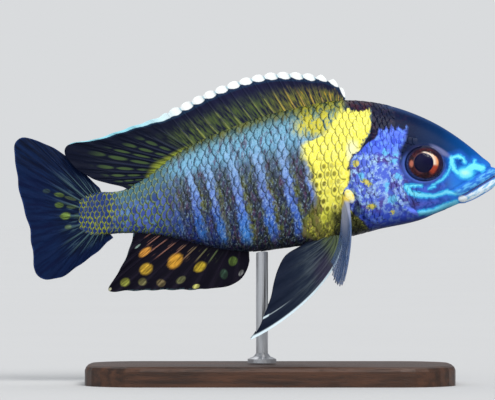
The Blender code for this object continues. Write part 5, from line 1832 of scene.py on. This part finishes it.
def knob_shape():
    """The fleshy knob at the pectoral fin's root: a ball drawn out and tipped forward, on the body's side.

    Each point of the ball is turned in side view by the tip's angle round the knob's centre.
    """
    x, z = PECTORAL_KNOB
    centre = np.array([x, -(float(side_at(x, z)) + 0.1), z])
    points, groups = ball(centre, KNOB_RADII, rows=KNOB_ROWS)
    away = points - centre
    turned = np.stack([
        away[:, 0] * math.cos(KNOB_TIP) - away[:, 2] * math.sin(KNOB_TIP), away[:, 1],
        away[:, 0] * math.sin(KNOB_TIP) + away[:, 2] * math.cos(KNOB_TIP)], axis=1)
    return centre + turned, groups


def knob_material():
    """Yellow flesh with lighter flecks, nearly white at its lower end."""
    made, tree = new_material("fin_knob_skin", Roughness=0.45, Specular_IOR_Level=0.3)
    place = object_millimetres(tree)
    _, _, height = split(place)
    fleck = noise(place, 1.6, 3.0)
    yellow = mix(fleck.step(0.3, 0.6), (246, 214, 76), (255, 246, 164))
    colour = mix((height + fleck).step(46.9, 45.9), yellow, (226, 234, 244))
    return dress(made, Base_Color=colour, Normal=bump(tree, fleck, 0.0001, 0.6))


def build_paired_fins():
    """Pelvic fin, pectoral fin and knob of both sides."""
    pelvic, pelvic_halves, *pelvic_map = pelvic_shape()
    fan, fan_halves, facing, *fan_map = pectoral_shape()
    knob, knob_groups = knob_shape()
    knob_skin = knob_material()
    for side, word in SIDES:
        sheet_fin(
            "pelvic_fin", f"_{word}", FIN_SKINS["pelvic"], mirrored(pelvic, side), pelvic_halves, (0, 1, 0),
            *pelvic_map)
        sheet_fin(
            "pectoral_fin", f"_{word}", FIN_SKINS["pectoral"], mirrored(fan, side), fan_halves,
            mirrored(facing, side), *fan_map)
        points = swung(mirrored(knob, side))
        mesh_piece(f"fin_knob_{word}", points, knob_groups, knob_skin)


build_paired_fins()

# %% [markdown]
# The stand is the museum's, not the fish's: a plain wooden base and a thin steel rod.
# Its CAD solids have the right shapes, so they stay and only get their finishes.
# Wood grain is noise that is drawn out along the board, and brushed steel is noise round the rod.

# %% The stand
BASE_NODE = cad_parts["stand_base"]
ROD_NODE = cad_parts["stand_rod"]


def wood_material():
    """Dark wood under a thin coat: its figure is drawn out along x and warped, and fine pores lie over it."""
    made, tree = new_material(
        "dark_wood", Specular_IOR_Level=0.3, Coat_Weight=0.08, Coat_Roughness=0.3)
    place = object_millimetres(tree)
    warp = noise(scaled(place, (0.02, 0.08, 0.08)), 1.0, 3.0)
    x, y, z = split(place)
    figure = noise(joined(x * 0.03, y * 0.55 + warp * 5.0, z * 0.55), 1.0, 4.0, 0.6)
    pores = noise(scaled(place, (0.35, 6.0, 6.0)), 1.0, 2.0, 0.6)
    colour = mix(figure.step(0.3, 0.7), (44, 28, 20), (82, 52, 36))
    colour = mix(pores.step(0.56, 0.7) * 0.6, colour, (22, 14, 11))
    grooves = bump(tree, 1.0 - pores.step(0.5, 0.75), 0.00008, 0.5)
    return dress(made, Base_Color=colour, Roughness=figure * 0.14 + 0.4, Normal=grooves)


def steel_material():
    """Bare steel whose noise is short along the rod, as the marks of a brush turned round it are."""
    made, tree = new_material("brushed_steel", Metallic=1.0)
    brushed = noise(scaled(object_millimetres(tree), (2.0, 2.0, 26.0)), 1.0, 2.0)
    colour = mix(brushed, (176, 178, 182), (206, 208, 212))
    return dress(
        made, Base_Color=colour, Roughness=brushed * 0.2 + 0.24, Normal=bump(tree, brushed, 0.00003, 0.4))


for node, material in ((BASE_NODE, wood_material()), (ROD_NODE, steel_material())):
    for slot in node.material_slots:
        slot.material = material
print("the stand's nodes dressed:", BASE_NODE.name, ROD_NODE.name)

# %% [markdown]
# A pale floor and soft light from large lamps show the fish as on a museum's photo table.
# Lamps close by would leave bright pools on the floor, so these shine from far off and are very wide.
# The sky that the camera sees is as bright as the lit floor, so no line shows where the two meet.

# %% Floor and light
FLOOR_RADIUS = 7.0
FLOOR_SIDES = 96
# Each lamp: its name, the way to it, its width in degrees, its strength and its colour.
LAMPS = [
    ("key", (0.32, -0.66, 0.72), 34, 2.25, (1.0, 0.985, 0.96)),
    ("fill", (-0.6, -0.75, 0.2), 80, 0.7, (0.95, 0.98, 1.0)),
    ("top", (-0.1, 0.45, 0.9), 60, 0.9, (1.0, 1.0, 1.0)),
]
FELT_SKY = 0.42
FELT_SKY_COLOUR = (240, 244, 250)
SEEN_SKY_COLOUR = (217, 219, 221)


def build_floor():
    """A wide disc in the plane of the stand's foot. It is stage, no part of the model."""
    turn = 2 * math.pi * np.arange(FLOOR_SIDES) / FLOOR_SIDES
    rim = np.stack([FLOOR_RADIUS * np.cos(turn), FLOOR_RADIUS * np.sin(turn), np.zeros(FLOOR_SIDES)], axis=1)
    mesh = bpy.data.meshes.new("floor")
    mesh.from_pydata(rim.tolist(), [], [list(range(FLOOR_SIDES))])
    made = bpy.data.objects.new("floor", mesh)
    bpy.context.scene.collection.objects.link(made)
    paint, tree = new_material("floor_paint", Roughness=1.0, Specular_IOR_Level=0.0)
    fleck = noise(object_millimetres(tree), 0.01, 3.0)
    mesh.materials.append(dress(paint, Base_Color=mix(fleck, (200, 201, 202), (203, 204, 205))))
    return made


def build_lamp(name, way, width, strength, colour):
    """A lamp as far off as the sun, turned by the angles of the way to it. Its width softens the shadows."""
    lamp = bpy.data.lights.new(name, "SUN")
    lamp.angle = math.radians(width)
    lamp.energy = strength
    lamp.color = colour
    made = bpy.data.objects.new(name, lamp)
    bpy.context.scene.collection.objects.link(made)
    flat = math.hypot(way[0], way[1])
    made.rotation_euler = (math.atan2(flat, way[2]), 0.0, math.atan2(way[1], way[0]) + math.pi / 2)
    return made


def build_world():
    """A sky in two parts: one that the camera sees and a dimmer one that lights the fish."""
    world = bpy.data.worlds.new("studio")
    bpy.context.scene.world = world
    world.use_nodes = True
    tree = world.node_tree
    tree.nodes.clear()
    seen = add_node(tree, "Background", {"Color": tint(*SEEN_SKY_COLOUR)})
    felt = add_node(tree, "Background", {"Color": tint(*FELT_SKY_COLOUR), "Strength": FELT_SKY})
    to_camera = add_node(tree, "LightPath", {}, "Is Camera Ray")
    both = add_node(tree, "MixShader", {0: to_camera, 1: felt, 2: seen})
    plug(tree, both, tree.nodes.new("ShaderNodeOutputWorld").inputs["Surface"])


build_floor()
for lamp in LAMPS:
    build_lamp(*lamp)
build_world()
bpy.context.scene.view_settings.view_transform = "Standard"
print("lamps:", len(LAMPS))
